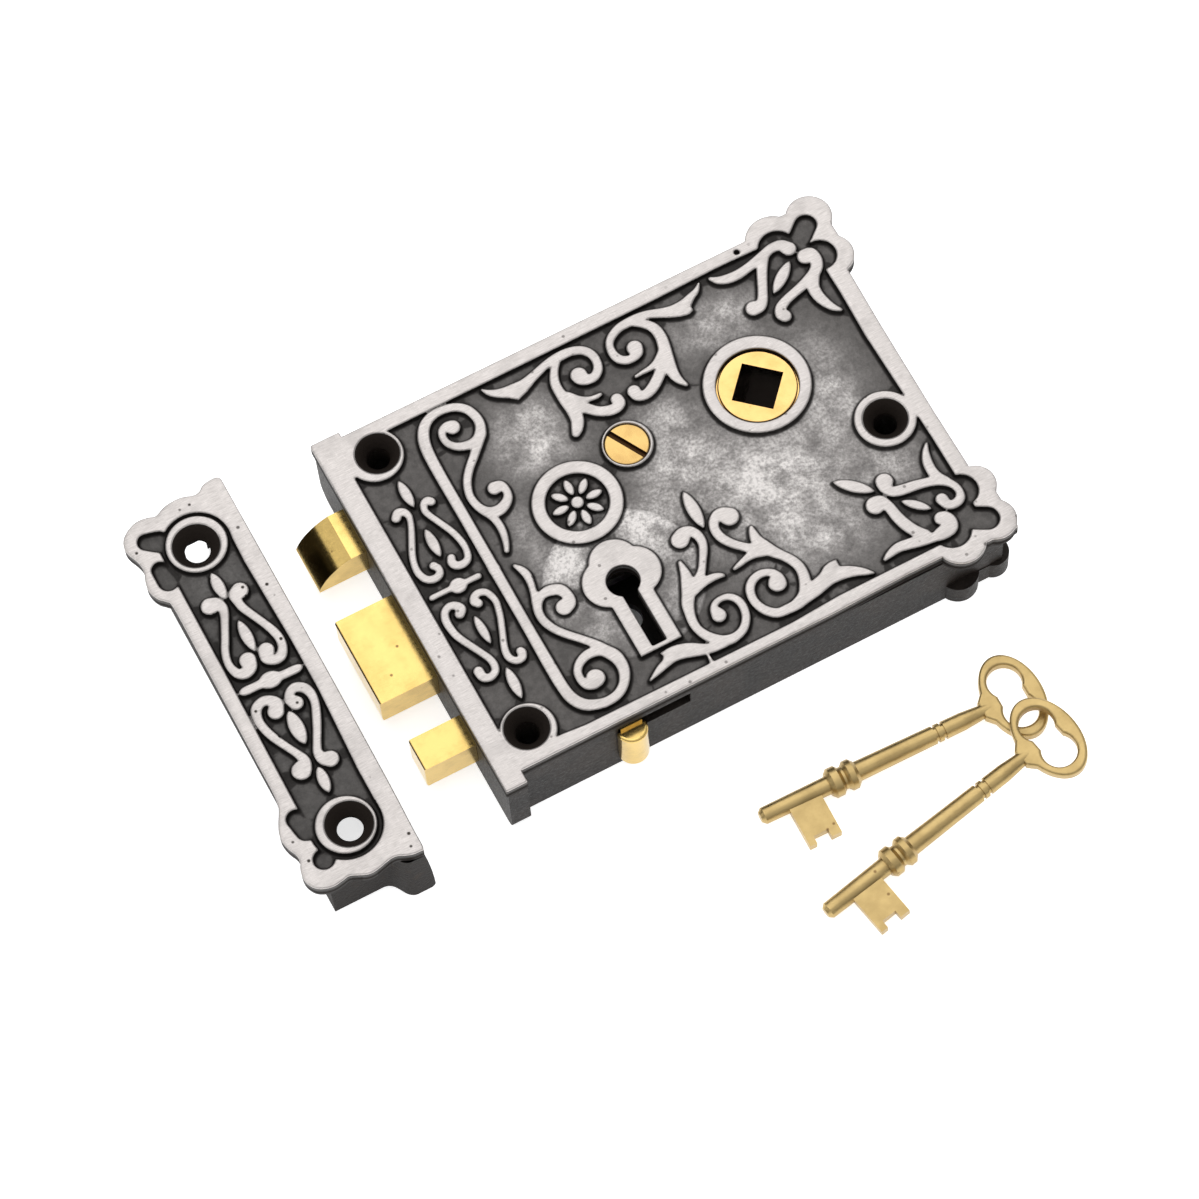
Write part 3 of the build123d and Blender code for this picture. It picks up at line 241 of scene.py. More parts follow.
BOSS_BLOCKS = ((-62.5, -54.6, 37.2, 46), (-62.5, -55.3, -46.5, -38), (60, 64.5, -13, -7),
               (-23.8, -13.2, -36.6, -18))
MEDALLION = (-18.2, 5.9)
MEDALLION_R = (7.65, 10.87)
PETALS = 8
PETAL_R = (2.3, 6.5)
PETAL_WIDTH = 2.0
ROSETTE_HUB_R = 1.5
SPINDLE = (33.8, 12.5)
SPINDLE_OPENING_R = 9.98
CAP_SCREW = (-0.8, 13.8)
KEYHOLE = (-18.4, -17.4)
KEYHOLE_R = 4.0
KEYHOLE_SLOT_W = 3.8
KEYHOLE_SLOT_END = -35.5
PLATEAU = (-18.2, -17.5, 19.2)
PLATEAU_RISE = 0.42
PLATEAU_SLOPE = (-0.3, 0.3)
PLATEAU_SHINE = 0.36
# Burnished patches of the field, which also hold a painted sheen: x, y, radius along x, radius along y,
# strength.
PATCHES = (
    (-19, 27, 9, 9, 0.95), (24, -12, 18, 14, 0.9), (30, -30, 12, 9, 0.5), (8, 5, 10, 8, 0.65),
    (-6, -6, 7, 6, 0.6), (-26, -8, 7, 6, 0.6), (48, 5, 8, 14, 0.6), (34, 33, 12, 7, 0.55),
    (10, 17, 8, 6, 0.45), (-33, 4, 5, 10, 0.3), (52, -20, 8, 6, 0.5),
)

# ------------ outlines and holes of the keep
KEEP_SHEET = ((-118.6, -88.2), (-56.4, 54.6))
KEEP_UNDER = 20.1
KEEP_CUT = 20.12         # the CAD keep above this height gives way to the relief
KEEP_OUTLINE = [
    (-89.3, 50), (-89.45, 52.5), (-90.5, 53.3), (-92.6, 53.2), (-94.1, 52.8), (-95.3, 51.8), (-96.8, 51.5),
    (-98.6, 52.1), (-100.1, 52.5), (-102.5, 52.5), (-104.6, 52.1), (-106.5, 51.2), (-107.6, 51),
    (-109, 51.5), (-111, 51.8), (-113, 51.5), (-115.1, 50.4), (-116.6, 49), (-117.4, 47), (-117.2, 45),
    (-116.2, 42.4), (-115.8, 40.4), (-116.1, 38.6), (-116.6, 37.2), (-117.05, 35.3), (-116.9, 33.2),
    (-116, 31.1), (-114.6, 29.6), (-113.8, 27.5), (-113.8, 15), (-113.9, 0), (-114, -15), (-114.05, -25),
    (-114.4, -29), (-115.1, -31), (-116.4, -33.4), (-117.4, -35.8), (-117.6, -37.9), (-117.1, -40.3),
    (-116.2, -42.4), (-116.2, -44.2), (-117.1, -46.3), (-117.35, -49), (-116.3, -51.4), (-114.5, -52.7),
    (-112.1, -53.3), (-109.6, -53), (-107.9, -52.7), (-106.2, -53.4), (-104, -54.4), (-101.9, -54.5),
    (-98, -53.6), (-96.2, -53.6), (-94.4, -54.4), (-92.6, -55), (-90.8, -55.1), (-89.9, -54.7),
    (-89.8, -49), (-89.5, -34), (-89.3, 0), (-89.3, 30),
]
KEEP_RECESS = [
    (-110.45, 33), (-110.6, 0), (-110.9, -31), (-110.9, -44), (-108, -46), (-98.6, -46), (-95.2, -43.5),
    (-94.3, -40), (-94.3, -30), (-93.3, -8), (-93.3, 7), (-93.95, 30), (-93.7, 39.8), (-95.2, 43.5),
    (-98, 45.5), (-107, 45), (-110.5, 42),
]
KEEP_POCKETS = [
    [(-112.3, 37.7, 4.4), (-111.9, 34.2, 5.2)], [(-112.1, 45.9, 4.4), (-109.6, 44.6, 5.6)],
    [(-101.9, 39.65, 16.7)], [(-102.9, -41.1, 17.4)], [(-111.1, -46.3, 5.2)],
    [(-112.3, -34.4, 4.8), (-111.5, -38, 5.2)],
]
KEEP_BOSSES = ((-101.9, 39.65, 7.35), (-102.9, -41.1, 7.1))
KEEP_HOLES = ((-102.2, 39.3), (-102.2, -41.3))
KEEP_PATCHES = ((-102, 30, 9, 9, 0.16), (-102, -20, 8, 18, 0.12))


# ------------ signed distances on a grid
def smooth_max(a, b):
    """Union of two signed distances with a small fillet where they meet."""
    near = np.clip(BLEND - np.abs(a - b), 0.0, None) / BLEND
    return np.maximum(a, b) + near * near * BLEND / 4.0


def segment_distance(px, py, a, b):
    """Distance from points to a segment, and how far along it the nearest point is."""
    vx = b[0] - a[0]
    vy = b[1] - a[1]
    along = ((px - a[0]) * vx + (py - a[1]) * vy) / (vx * vx + vy * vy + 1e-12)
    along = np.clip(along, 0.0, 1.0)
    return np.hypot(px - a[0] - along * vx, py - a[1] - along * vy), along


def spline(points, closed=False, pieces=8):
    """Catmull-Rom curve through points of any dimension."""
    p = np.array(points, float)
    if closed:
        p = np.vstack([p[-1:], p, p[:2]])
    else:
        p = np.vstack([2 * p[0] - p[1], p, 2 * p[-1] - p[-2]])
    t = np.linspace(0.0, 1.0, pieces, endpoint=False)[:, None]
    parts = []
    for i in range(1, len(p) - 2):
        a, b, c, d = p[i - 1:i + 3]
        parts.append(0.5 * (2 * b + (c - a) * t + (2 * a - 5 * b + 4 * c - d) * t ** 2
                            + (3 * b - a - 3 * c + d) * t ** 3))
    if not closed:
        parts.append(p[-2][None])
    return np.vstack(parts)


class Sheet:
    """A rectangle of grid points for signed distances, which are positive inside a shape."""

    def __init__(self, x_range, y_range):
        self.x = np.arange(x_range[0], x_range[1] + GRID, GRID)
        self.y = np.arange(y_range[0], y_range[1] + GRID, GRID)
        self.gx, self.gy = np.meshgrid(self.x, self.y, indexing="ij")

    def blank(self):
        return np.full(self.gx.shape, FAR)

    def add_stroke(self, grid, points, reach=REACH):
        """A rod of varying width along a spline. A single point is a disc."""
        rod = spline(points) if len(points) > 1 else np.array([points[0], points[0]], float)
        rod[:, 2] = np.maximum(rod[:, 2], THINNEST)
        pad = rod[:, 2].max() / 2 + reach
        i0, i1 = np.searchsorted(self.x, (rod[:, 0].min() - pad, rod[:, 0].max() + pad))
        j0, j1 = np.searchsorted(self.y, (rod[:, 1].min() - pad, rod[:, 1].max() + pad))
        px = self.gx[i0:i1, j0:j1]
        py = self.gy[i0:i1, j0:j1]
        inside = np.full(px.shape, FAR)
        for a, b in zip(rod[:-1], rod[1:]):
            gap, along = segment_distance(px, py, a, b)
            inside = np.maximum(inside, (a[2] + (b[2] - a[2]) * along) / 2 - gap)
        grid[i0:i1, j0:j1] = smooth_max(grid[i0:i1, j0:j1], inside)

    def add_leaf(self, grid, leaf):
        """A pointed oval from tip to tip."""
        t = np.linspace(0.0, 1.0, 9)
        width = leaf[4] * np.sin(np.pi * t) ** 0.75
        self.add_stroke(grid, np.column_stack([leaf[0] + (leaf[2] - leaf[0]) * t,
                                               leaf[1] + (leaf[3] - leaf[1]) * t, width]))

    def polygon(self, points):
        """Signed distance to a closed polygon."""
        near = np.full(self.gx.shape, 1e9)
        inside = np.zeros(self.gx.shape, bool)
        for a, b in zip(points, np.roll(points, -1, axis=0)):
            near = np.minimum(near, segment_distance(self.gx, self.gy, a, b)[0])
            rise = (b[1] - a[1]) or 1e-9
            crossing = (a[1] > self.gy) != (b[1] > self.gy)
            inside ^= crossing & (self.gx < (b[0] - a[0]) * (self.gy - a[1]) / rise + a[0])
        return np.where(inside, near, -near)

    def block(self, x0, x1, y0, y1):
        """Signed distance to an upright rectangle."""
        dx = np.minimum(self.gx - x0, x1 - self.gx)
        dy = np.minimum(self.gy - y0, y1 - self.gy)
        return np.where((dx < 0) & (dy < 0), -np.hypot(dx, dy), np.minimum(dx, dy))

    def disc(self, x, y, radius):
        return radius - np.hypot(self.gx - x, self.gy - y)

    def sample(self, grid, px, py):
        """Values between grid points."""
        ix = np.clip((px - self.x[0]) / GRID, 0, len(self.x) - 1.001)
        iy = np.clip((py - self.y[0]) / GRID, 0, len(self.y) - 1.001)
        i = ix.astype(int)
        j = iy.astype(int)
        fx = ix - i
        fy = iy - j
        return ((grid[i, j] * (1 - fx) + grid[i + 1, j] * fx) * (1 - fy)
                + (grid[i, j + 1] * (1 - fx) + grid[i + 1, j + 1] * fx) * fy)

    def contour(self, grid, level):
        """Polylines along which the grid passes a level, with even steps."""
        v = grid - level
        v[v == 0] = 1e-7
        nx, ny = v.shape
        ids = np.arange(nx * ny).reshape(nx, ny)
        flat = v > 0
        across = flat[:-1, :] != flat[1:, :]
        up = flat[:, :-1] != flat[:, 1:]
        places = {}
        i, j = np.nonzero(across)
        t = v[i, j] / (v[i, j] - v[i + 1, j])
        places.update(zip((2 * ids[i, j]).tolist(), zip(self.x[i] + t * GRID, self.y[j])))
        i, j = np.nonzero(up)
        t = v[i, j] / (v[i, j] - v[i, j + 1])
        places.update(zip((2 * ids[i, j] + 1).tolist(), zip(self.x[i], self.y[j] + t * GRID)))
        sides = (across[:, :-1], up[1:, :], across[:, 1:], up[:-1, :])
        names = (2 * ids[:-1, :-1], 2 * ids[1:, :-1] + 1, 2 * ids[:-1, 1:], 2 * ids[:-1, :-1] + 1)
        links = {}
        for i, j in zip(*np.nonzero(sides[0] | sides[1] | sides[2])):
            met = [int(n[i, j]) for s, n in zip(sides, names) if s[i, j]]
            for k in range(0, len(met) - 1, 2):
                links.setdefault(met[k], []).append(met[k + 1])
                links.setdefault(met[k + 1], []).append(met[k])
        return [even_steps(np.array([places[n] for n in chain]), closed) for chain, closed in chains(links)]


def chains(links):
    """Follow links between neighbours into chains, and say which ones close."""
    left = dict(links)
    starts = [n for n in links if len(links[n]) == 1] + list(links)
    for start in starts:
        if start not in left:
            continue
        chain = [start]
        left.pop(start)
        here = start
        while True:
            onward = [n for n in links[here] if n in left]
            if not onward:
                break
            here = onward[0]
            left.pop(here)
            chain.append(here)
        if len(chain) > 4:
            yield chain, start in links[here]


def even_steps(line, closed):
    """A polyline with its points evenly spaced, and whether it closes."""
    if closed:
        line = (np.roll(line, 1, axis=0) + 2 * line + np.roll(line, -1, axis=0)) / 4
        line = np.vstack([line, line[:1]])
    run = np.concatenate([[0.0], np.cumsum(np.hypot(*np.diff(line, axis=0).T))])
    count = max(int(run[-1] / STEP), 4)
    marks = np.linspace(0.0, run[-1], count + 1)
    out = np.column_stack([np.interp(marks, run, side) for side in line.T])
    return (out[:-1] if closed else out), closed


# ------------ a relief plate as a closed mesh
def waves(px, py):
    """Slow unevenness of a cast surface, in millimetres."""
    return (0.035 * np.sin(0.61 * px + 0.4) * np.cos(0.53 * py + 1.1)
            + 0.02 * np.sin(1.27 * px - 0.9 * py) + 0.012 * np.cos(2.3 * py + 1.9 * px))


def burnish_and_sheen_at(px, py, spots, plateau=None):
    """Share of burnishing and of painted sheen at points of the field."""
    total = np.zeros(len(px))
    for x, y, rx, ry, strength in spots:
        total += strength * np.exp(-((px - x) / rx) ** 2 - ((py - y) / ry) ** 2)
    if plateau is not None:
        total += PLATEAU_SHINE * (np.hypot(px - plateau[0], py - plateau[1]) < plateau[2])
    return np.clip(total, 0.0, 1.0).astype(np.float32)


# Scattered points keep these distances from the contours.
CLEAR_INSIDE = 0.8
CLEAR_OUTSIDE = -1.05
CLEAR_OF_RIM = 0.75
CLEAR_OF_PLATEAU = 0.7
LIP = 0.35               # depth over which the brushed edge turns into the dark wall
RIM_TOLERANCE = 0.25     # how near a rim point is to the hole that it belongs to


def triangulate(points, edges):
    """Delaunay triangles: places, corners, centres and the given points that each place comes from."""
    found = delaunay_2d_cdt(points, edges, [], 0, 1e-5)
    flat = np.array([(v.x, v.y) for v in found[0]])
    corners = np.array([tuple(f) for f in found[2] if len(f) == 3])
    return flat, corners, flat[corners].mean(axis=1), found[3]


class Relief:
    """Builds the top of a plate from its ornament and outline distances, then its walls and underside."""

    def __init__(self, sheet, ornament, outline, holes, plateau=None, bottom=UNDER):
        self.sheet = sheet
        self.ornament = ornament
        self.outline = outline
        self.holes = holes
        self.plateau = plateau
        self.bottom = bottom
        self.solid = outline
        for x, y, profile in holes:
            self.solid = np.minimum(self.solid, -sheet.disc(x, y, profile[0][0]))

    def at(self, grid, places):
        return self.sheet.sample(grid, places[:, 0], places[:, 1])

    def gather(self):
        """Points with the edges between them and, on contours, their known share of rise or drop."""
        points, edges, known = [], [], []
        jobs = [(self.ornament, level, (s, None)) for level, s in LEVELS]
        jobs += [(self.solid, level, (None, d)) for level, d in EDGE_LEVELS]
        if self.plateau is not None:
            jobs += [(self.plateau, level, (None, None)) for level in PLATEAU_SLOPE]
        for grid, level, values in jobs:
            for line, closed in self.sheet.contour(grid.copy(), level):
                first = len(points)
                points.extend(line.tolist())
                known += [values] * len(line)
                edges += [(first + k, first + k + 1) for k in range(len(line) - 1)]
                if closed:
                    edges.append((first + len(line) - 1, first))
        rng = np.random.default_rng(7)
        gx, gy = np.meshgrid(np.arange(self.sheet.x[0], self.sheet.x[-1], SCATTER),
                             np.arange(self.sheet.y[0], self.sheet.y[-1], SCATTER))
        px = gx.ravel() + rng.uniform(-JITTER, JITTER, gx.size)
        py = gy.ravel() + rng.uniform(-JITTER, JITTER, gx.size)
        places = np.column_stack([px, py])
        f = self.at(self.ornament, places)
        clear = ((f > CLEAR_INSIDE) | (f < CLEAR_OUTSIDE)) & (self.at(self.solid, places) > CLEAR_OF_RIM)
        if self.plateau is not None:
            clear &= (np.abs(self.at(self.plateau, places)) > CLEAR_OF_PLATEAU) | (f > 0)
        points.extend(places[clear].tolist())
        known += [(None, None)] * int(clear.sum())
        return points, edges, known

    def build(self):
        """Vertices, faces and rise marks of the closed plate."""
        points, edges, known = self.gather()
        flat, faces, centre, origins = triangulate([Vector(p) for p in points], edges)
        faces = faces[self.at(self.solid, centre) > 0.0]
        f = self.at(self.ornament, flat)
        part = np.interp(f, *zip(*LEVELS))
        down = np.interp(self.at(self.solid, flat), *zip(*EDGE_LEVELS))
        for k, sources in enumerate(origins):
            for source in sources[:1]:
                share, drop = known[source]
                part[k] = part[k] if share is None else share
                down[k] = down[k] if drop is None else drop
        low = FIELD + waves(flat[:, 0], flat[:, 1]) * (part < 0.5)
        if self.plateau is not None:
            low += PLATEAU_RISE * np.interp(self.at(self.plateau, flat), PLATEAU_SLOPE, (0.0, 1.0))
        z = low + (TOP - low) * part - down * part
        return self.close(np.column_stack([flat, z]), faces, np.clip(f, *RISE_RANGE))

    def close(self, verts, faces, rise):
        """Walls, hole profiles and underside."""
        used = np.unique(faces)
        renumber = np.full(len(verts), -1)
        renumber[used] = np.arange(len(used))
        faces = renumber[faces]
        pairs = np.vstack([faces[:, [0, 1]], faces[:, [1, 2]], faces[:, [2, 0]]])
        directed = dict.fromkeys((a, b) for a, b in pairs.tolist())
        rim = [(a, b) for a, b in directed if (b, a) not in directed]
        rim_ids = sorted({a for edge in rim for a in edge})
        all_verts = verts[used].tolist()
        marks = rise[used].tolist()
        all_faces = faces.tolist()
        columns = {}
        for a in rim_ids:
            x, y, z = all_verts[a]
            steps = [(x, y, z - LIP, 0.0), (x, y, self.bottom, WALL_MARK)]
            for hx, hy, profile in self.holes:
                out = math.hypot(x - hx, y - hy)
                if abs(out - profile[0][0]) < RIM_TOLERANCE:
                    ux = (x - hx) / out
                    uy = (y - hy) / out
                    all_verts[a] = [hx + ux * profile[0][0], hy + uy * profile[0][0], z]
                    steps = [(hx + ux * r, hy + uy * r, h, m) for r, h, m in profile[1:]]
            column = [a]
            for *place, mark in steps:
                column.append(len(all_verts))
                all_verts.append(place)
                marks.append(mark)
            columns[a] = column
        for a, b in rim:
            rungs = list(zip(columns[a], columns[b]))
            all_faces += [[d, c, e, f] for (c, d), (e, f) in zip(rungs, rungs[1:])]
        feet = [columns[a][-1] for a in rim_ids]
        order = {a: k for k, a in enumerate(rim_ids)}
        base = [Vector(all_verts[foot][:2]) for foot in feet]
        tri, centre, origins = triangulate(base, [(order[a], order[b]) for a, b in rim])[1:]
        keep = self.at(self.outline, centre) > 0.0
        for x, y, profile in self.holes:
            keep &= np.hypot(centre[:, 0] - x, centre[:, 1] - y) > profile[-1][0]
        named = [feet[o[0]] if o else None for o in origins]
        for a, b, c in tri[keep].tolist():
            if None not in (named[a], named[b], named[c]):
                all_faces.append([named[c], named[b], named[a]])
        return all_verts, all_faces, marks


def link_object(name, data):
    """A new object in the scene."""
    obj = bpy.data.objects.new(name, data)
    bpy.context.scene.collection.objects.link(obj)
    return obj


def smooth_object(name, mesh):
    """A new object whose mesh is shaded smooth apart from its sharp edges."""
    mesh.polygons.foreach_set("use_smooth", [True] * len(mesh.polygons))
    mesh.set_sharp_from_angle(angle=SHARP_ANGLE)
    return link_object(name, mesh)


def relief_object(name, verts, faces, marks, spots, plateau=None, extra=None):
    """A relief's object with its rise attribute and its burnish_and_sheen attribute, the share of burnishing
    and painted sheen. What extra adds to the mesh has no burnishing or painted sheen.
    """
    points = np.array(verts)
    mesh = bpy.data.meshes.new(name)
    mesh.from_pydata((points * MM).tolist(), [], faces)
    mesh.attributes.new("rise", "FLOAT", "POINT").data.foreach_set("value", np.array(marks, np.float32))
    burnish_and_sheen = burnish_and_sheen_at(points[:, 0], points[:, 1], spots, plateau)
    mesh.attributes.new("burnish_and_sheen", "FLOAT", "POINT").data.foreach_set("value", burnish_and_sheen)
    mesh.update()
    if extra is not None:
        extra(mesh)
    return smooth_object(name, mesh)


COUNTERSINK_SLOPE = math.tan(math.radians(41))
COUNTERSINK_EDGE = (0.25, 0.3)
CAP_COUNTERSINK = (5.5, 2.9)     # outer and inner radius
KEEP_COUNTERSINK = (5.8, 3.1)
SPINDLE_EDGE = 0.5
SEAT_R = 5.55                    # seat of the cap screw's head
SEAT_DEPTH = 2.1
SHANK_R = 2.1


def countersink(outer, inner, bottom):
    """Profile of a screw hole: radius, height and mark from the face down."""
    return ((outer, TOP, TOP_MARK),
            (outer - COUNTERSINK_EDGE[0], TOP - COUNTERSINK_EDGE[1], HOLE_MARK),
            (inner, TOP - (outer - inner) / COUNTERSINK_SLOPE, HOLE_MARK), (inner, bottom, HOLE_MARK))


def engraved(sheet, recess, pockets, strokes, leaves):
    """Signed distances of what stands up around and in a recess."""
    recess = sheet.polygon(recess)
    for pocket in pockets:
        grown = sheet.blank()
        sheet.add_stroke(grown, pocket, reach=POCKET_REACH)
        recess = smooth_max(recess, grown)
    ornament = -recess
    for stroke in strokes:
        sheet.add_stroke(ornament, stroke)
    for leaf in leaves:
        sheet.add_leaf(ornament, leaf)
    return ornament


def add_discs(sheet, grid, discs):
    """Unites a distance grid with round shapes, without fillets."""
    for x, y, radius in discs:
        grid = np.maximum(grid, sheet.disc(x, y, radius))
    return grid


def make_cap():
    """The ornamented front plate of the lock."""
    sheet = Sheet(*CAP_SHEET)
    strokes = LEFT_STRIP + TALL_BAR + TOP_SPRAYS + LOWER_SPRAYS + CORNER_SPRAYS
    ornament = engraved(sheet, CAP_RECESS, CAP_POCKETS, strokes, CAP_LEAVES)
    for thorn in THORNS:
        ornament = smooth_max(ornament, sheet.polygon(thorn))
    ornament = add_discs(sheet, ornament, BOSSES)
    for block in BOSS_BLOCKS:
        ornament = smooth_max(ornament, sheet.block(*block))
    ring = np.minimum(sheet.disc(*MEDALLION, MEDALLION_R[1]), -sheet.disc(*MEDALLION, MEDALLION_R[0]))
    ornament = np.maximum(ornament, ring)
    for k in range(PETALS):
        turn = 2 * math.pi * k / PETALS
        ux = math.cos(turn)
        uy = math.sin(turn)
        sheet.add_leaf(ornament, (MEDALLION[0] + ux * PETAL_R[0], MEDALLION[1] + uy * PETAL_R[0],
                                  MEDALLION[0] + ux * PETAL_R[1], MEDALLION[1] + uy * PETAL_R[1],
                                  PETAL_WIDTH))
    ornament = np.maximum(ornament, sheet.disc(*MEDALLION, ROSETTE_HUB_R))
    outline = add_discs(sheet, sheet.polygon(CAP_OUTLINE), CORNER_LOBES)
    for block in CORNER_BLOCKS:
        outline = np.maximum(outline, sheet.block(*block))
    slot = sheet.block(KEYHOLE[0] - KEYHOLE_SLOT_W / 2, KEYHOLE[0] + KEYHOLE_SLOT_W / 2,
                       KEYHOLE_SLOT_END, KEYHOLE[1])
    keyhole = np.maximum(sheet.disc(*KEYHOLE, KEYHOLE_R), slot)
    outline = np.minimum(outline, -keyhole)
    holes = [(x, y, countersink(*CAP_COUNTERSINK, UNDER)) for x, y in FIXING_HOLES]
    holes.append((*SPINDLE, ((SPINDLE_OPENING_R, TOP, TOP_MARK),
                             (SPINDLE_OPENING_R, TOP - SPINDLE_EDGE, HOLE_MARK),
                             (SPINDLE_OPENING_R, UNDER, HOLE_MARK))))
    holes.append((*CAP_SCREW, ((SEAT_R, TOP, TOP_MARK), (SEAT_R, TOP - SEAT_DEPTH, HOLE_MARK),
                               (SHANK_R, TOP - SEAT_DEPTH, HOLE_MARK), (SHANK_R, UNDER, HOLE_MARK))))
    relief = Relief(sheet, ornament, outline, holes, sheet.disc(*PLATEAU))
    obj = relief_object("cap_casting", *relief.build(), PATCHES, PLATEAU)
    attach(obj, "case")
    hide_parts("cap")
    return obj


def add_keep_box(mesh):
    """Joins the keep's box, which is the CAD keep below its face plate, to the relief mesh."""
    work = bmesh.new()
    work.from_mesh(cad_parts["keep"].data)
    geometry = work.verts[:] + work.edges[:] + work.faces[:]
    bmesh.ops.bisect_plane(work, geom=geometry, plane_co=(0, 0, KEEP_CUT * MM), plane_no=(0, 0, 1),
                           clear_outer=True)
    box = bpy.data.meshes.new("keep_box")
    work.to_mesh(box)
    work.free()
    box.attributes.new("rise", "FLOAT", "POINT").data.foreach_set(
        "value", np.full(len(box.vertices), WALL_MARK, np.float32))
    join = bmesh.new()
    join.from_mesh(mesh)
    join.from_mesh(box)
    join.to_mesh(mesh)
    join.free()
    bpy.data.meshes.remove(box)


def make_keep():
    """The keep: ornamented face plate on its box."""
    sheet = Sheet(*KEEP_SHEET)
    ornament = engraved(sheet, KEEP_RECESS, KEEP_POCKETS, KEEP_STROKES, KEEP_LEAVES)
    ornament = add_discs(sheet, ornament, KEEP_BOSSES)
    outline = sheet.polygon(spline(KEEP_OUTLINE, closed=True, pieces=4))
    holes = [(x, y, countersink(*KEEP_COUNTERSINK, KEEP_UNDER)) for x, y in KEEP_HOLES]
    relief = Relief(sheet, ornament, outline, holes, bottom=KEEP_UNDER)
    obj = relief_object("keep_casting", *relief.build(), KEEP_PATCHES, extra=add_keep_box)
    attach(obj, "keep")
    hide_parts("keep")
    return obj


# ------------ the latch's coil spring
SPRING_X = (44.1, 62.9)
SPRING_AXIS = (31.5, 9.5)
SPRING_R = 2.3
SPRING_WIRE_R = 0.4
SPRING_TURNS = 8
SPRING_END_PITCH = 2.1   # advance of each closed end turn, in wire radii


def make_latch_spring():
    """The coil behind the latch's tail, with a closed turn at each end."""
    per_turn = 30
    sides = 12
    count = SPRING_TURNS * per_turn + 1
    first = SPRING_X[0] + SPRING_WIRE_R
    last = SPRING_X[1] - SPRING_WIRE_R
    advance = SPRING_END_PITCH * SPRING_WIRE_R
    verts = []
    for k in range(count):
        turn = k / per_turn
        x = np.interp(turn, (0.0, 1.0, SPRING_TURNS - 1.0, SPRING_TURNS),
                      (first, first + advance, last - advance, last))
        for j in range(sides):
            around = 2 * math.pi * j / sides
            radius = SPRING_R + SPRING_WIRE_R * math.cos(around)
            verts.append(((x + SPRING_WIRE_R * math.sin(around)) * MM,
                          (SPRING_AXIS[0] + radius * math.cos(2 * math.pi * turn)) * MM,
                          (SPRING_AXIS[1] + radius * math.sin(2 * math.pi * turn)) * MM))
    faces = [tuple(range(sides)), tuple(reversed(range((count - 1) * sides, count * sides)))]
    for k in range(count - 1):
        for j in range(sides):
            a = k * sides + j
            b = k * sides + (j + 1) % sides
            faces.append((a, a + sides, b + sides, b))
    mesh = bpy.data.meshes.new("latch_coil")
    mesh.from_pydata(verts, [], faces)
    obj = smooth_object("latch_coil", mesh)
    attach(obj, "case")
    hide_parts("latch_spring")
    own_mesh(obj)
    return obj


# ------------ material helpers
class Graph:
    """A short way to write a node material."""

    def __init__(self, name):
        self.material = bpy.data.materials.new(name)
        self.material.use_nodes = True
        self.tree = self.material.node_tree
        self.shader = self.tree.nodes["Principled BSDF"]
        place = self.node("ShaderNodeTexCoord")
        self.mm = self.node("ShaderNodeVectorMath", {"operation": "SCALE"},
                            {0: place.outputs["Object"], "Scale": 1000.0}).outputs[0]

    def node(self, kind, settings=None, inputs=None):
        made = self.tree.nodes.new(kind)
        for key, value in (settings or {}).items():
            setattr(made, key, value)
        for key, value in (inputs or {}).items():
            self.put(made.inputs[key], value)
        return made

    def put(self, socket, value):
        if isinstance(value, bpy.types.NodeSocket):
            self.tree.links.new(value, socket)
        else:
            socket.default_value = value

    def set(self, **inputs):
        for key, value in inputs.items():
            self.put(self.shader.inputs[key.replace("_", " ")], value)

    def split(self, vector):
        return self.node("ShaderNodeSeparateXYZ", None, {0: vector}).outputs

    def attribute(self, name):
        return self.node("ShaderNodeAttribute", {"attribute_name": name}).outputs["Fac"]

    def stretched(self, along, turn=0.0):
        """Coordinates squeezed by a factor per axis, for grain that runs one way."""
        return self.node("ShaderNodeMapping", None, {"Vector": self.mm, "Rotation": (0, 0, turn),
                                                     "Scale": along}).outputs[0]

    def noise(self, scale, detail=3.0, rough=0.6, vector=None):
        return self.node("ShaderNodeTexNoise", None, {"Vector": vector or self.mm, "Scale": scale,
                                                      "Detail": detail, "Roughness": rough}).outputs["Fac"]

    def ramp(self, value, low, high, to_low=0.0, to_high=1.0):
        return self.node("ShaderNodeMapRange", {"interpolation_type": "SMOOTHSTEP"},
                         {"Value": value, "From Min": low, "From Max": high, "To Min": to_low,
                          "To Max": to_high}).outputs[0]

    def math(self, operation, a, b=0.0):
        return self.node("ShaderNodeMath", {"operation": operation}, {0: a, 1: b}).outputs[0]

    def times(self, a, b):
        return self.math("MULTIPLY", a, b)

    def mix(self, share, a, b):
        a, b = (tone if isinstance(tone, bpy.types.NodeSocket) else (*tone, 1.0) for tone in (a, b))
        return self.node("ShaderNodeMix", {"data_type": "RGBA"}, {0: share, 6: a, 7: b}).outputs[2]

    def pits(self, scale, size):
        """Small scattered spots, one where a pit is."""
        cells = self.node("ShaderNodeTexVoronoi", None, {"Vector": self.mm, "Scale": scale})
        chosen = self.ramp(cells.outputs["Color"], 0.72, 0.75)
        return self.times(self.ramp(cells.outputs["Distance"], size, size * 0.45), chosen)

    def bump(self, height, distance, strength=1.0, normal=None):
        inputs = {"Height": height, "Distance": distance * MM, "Strength": strength}
        if normal is not None:
            inputs["Normal"] = normal
        return self.node("ShaderNodeBump", None, inputs).outputs["Normal"]


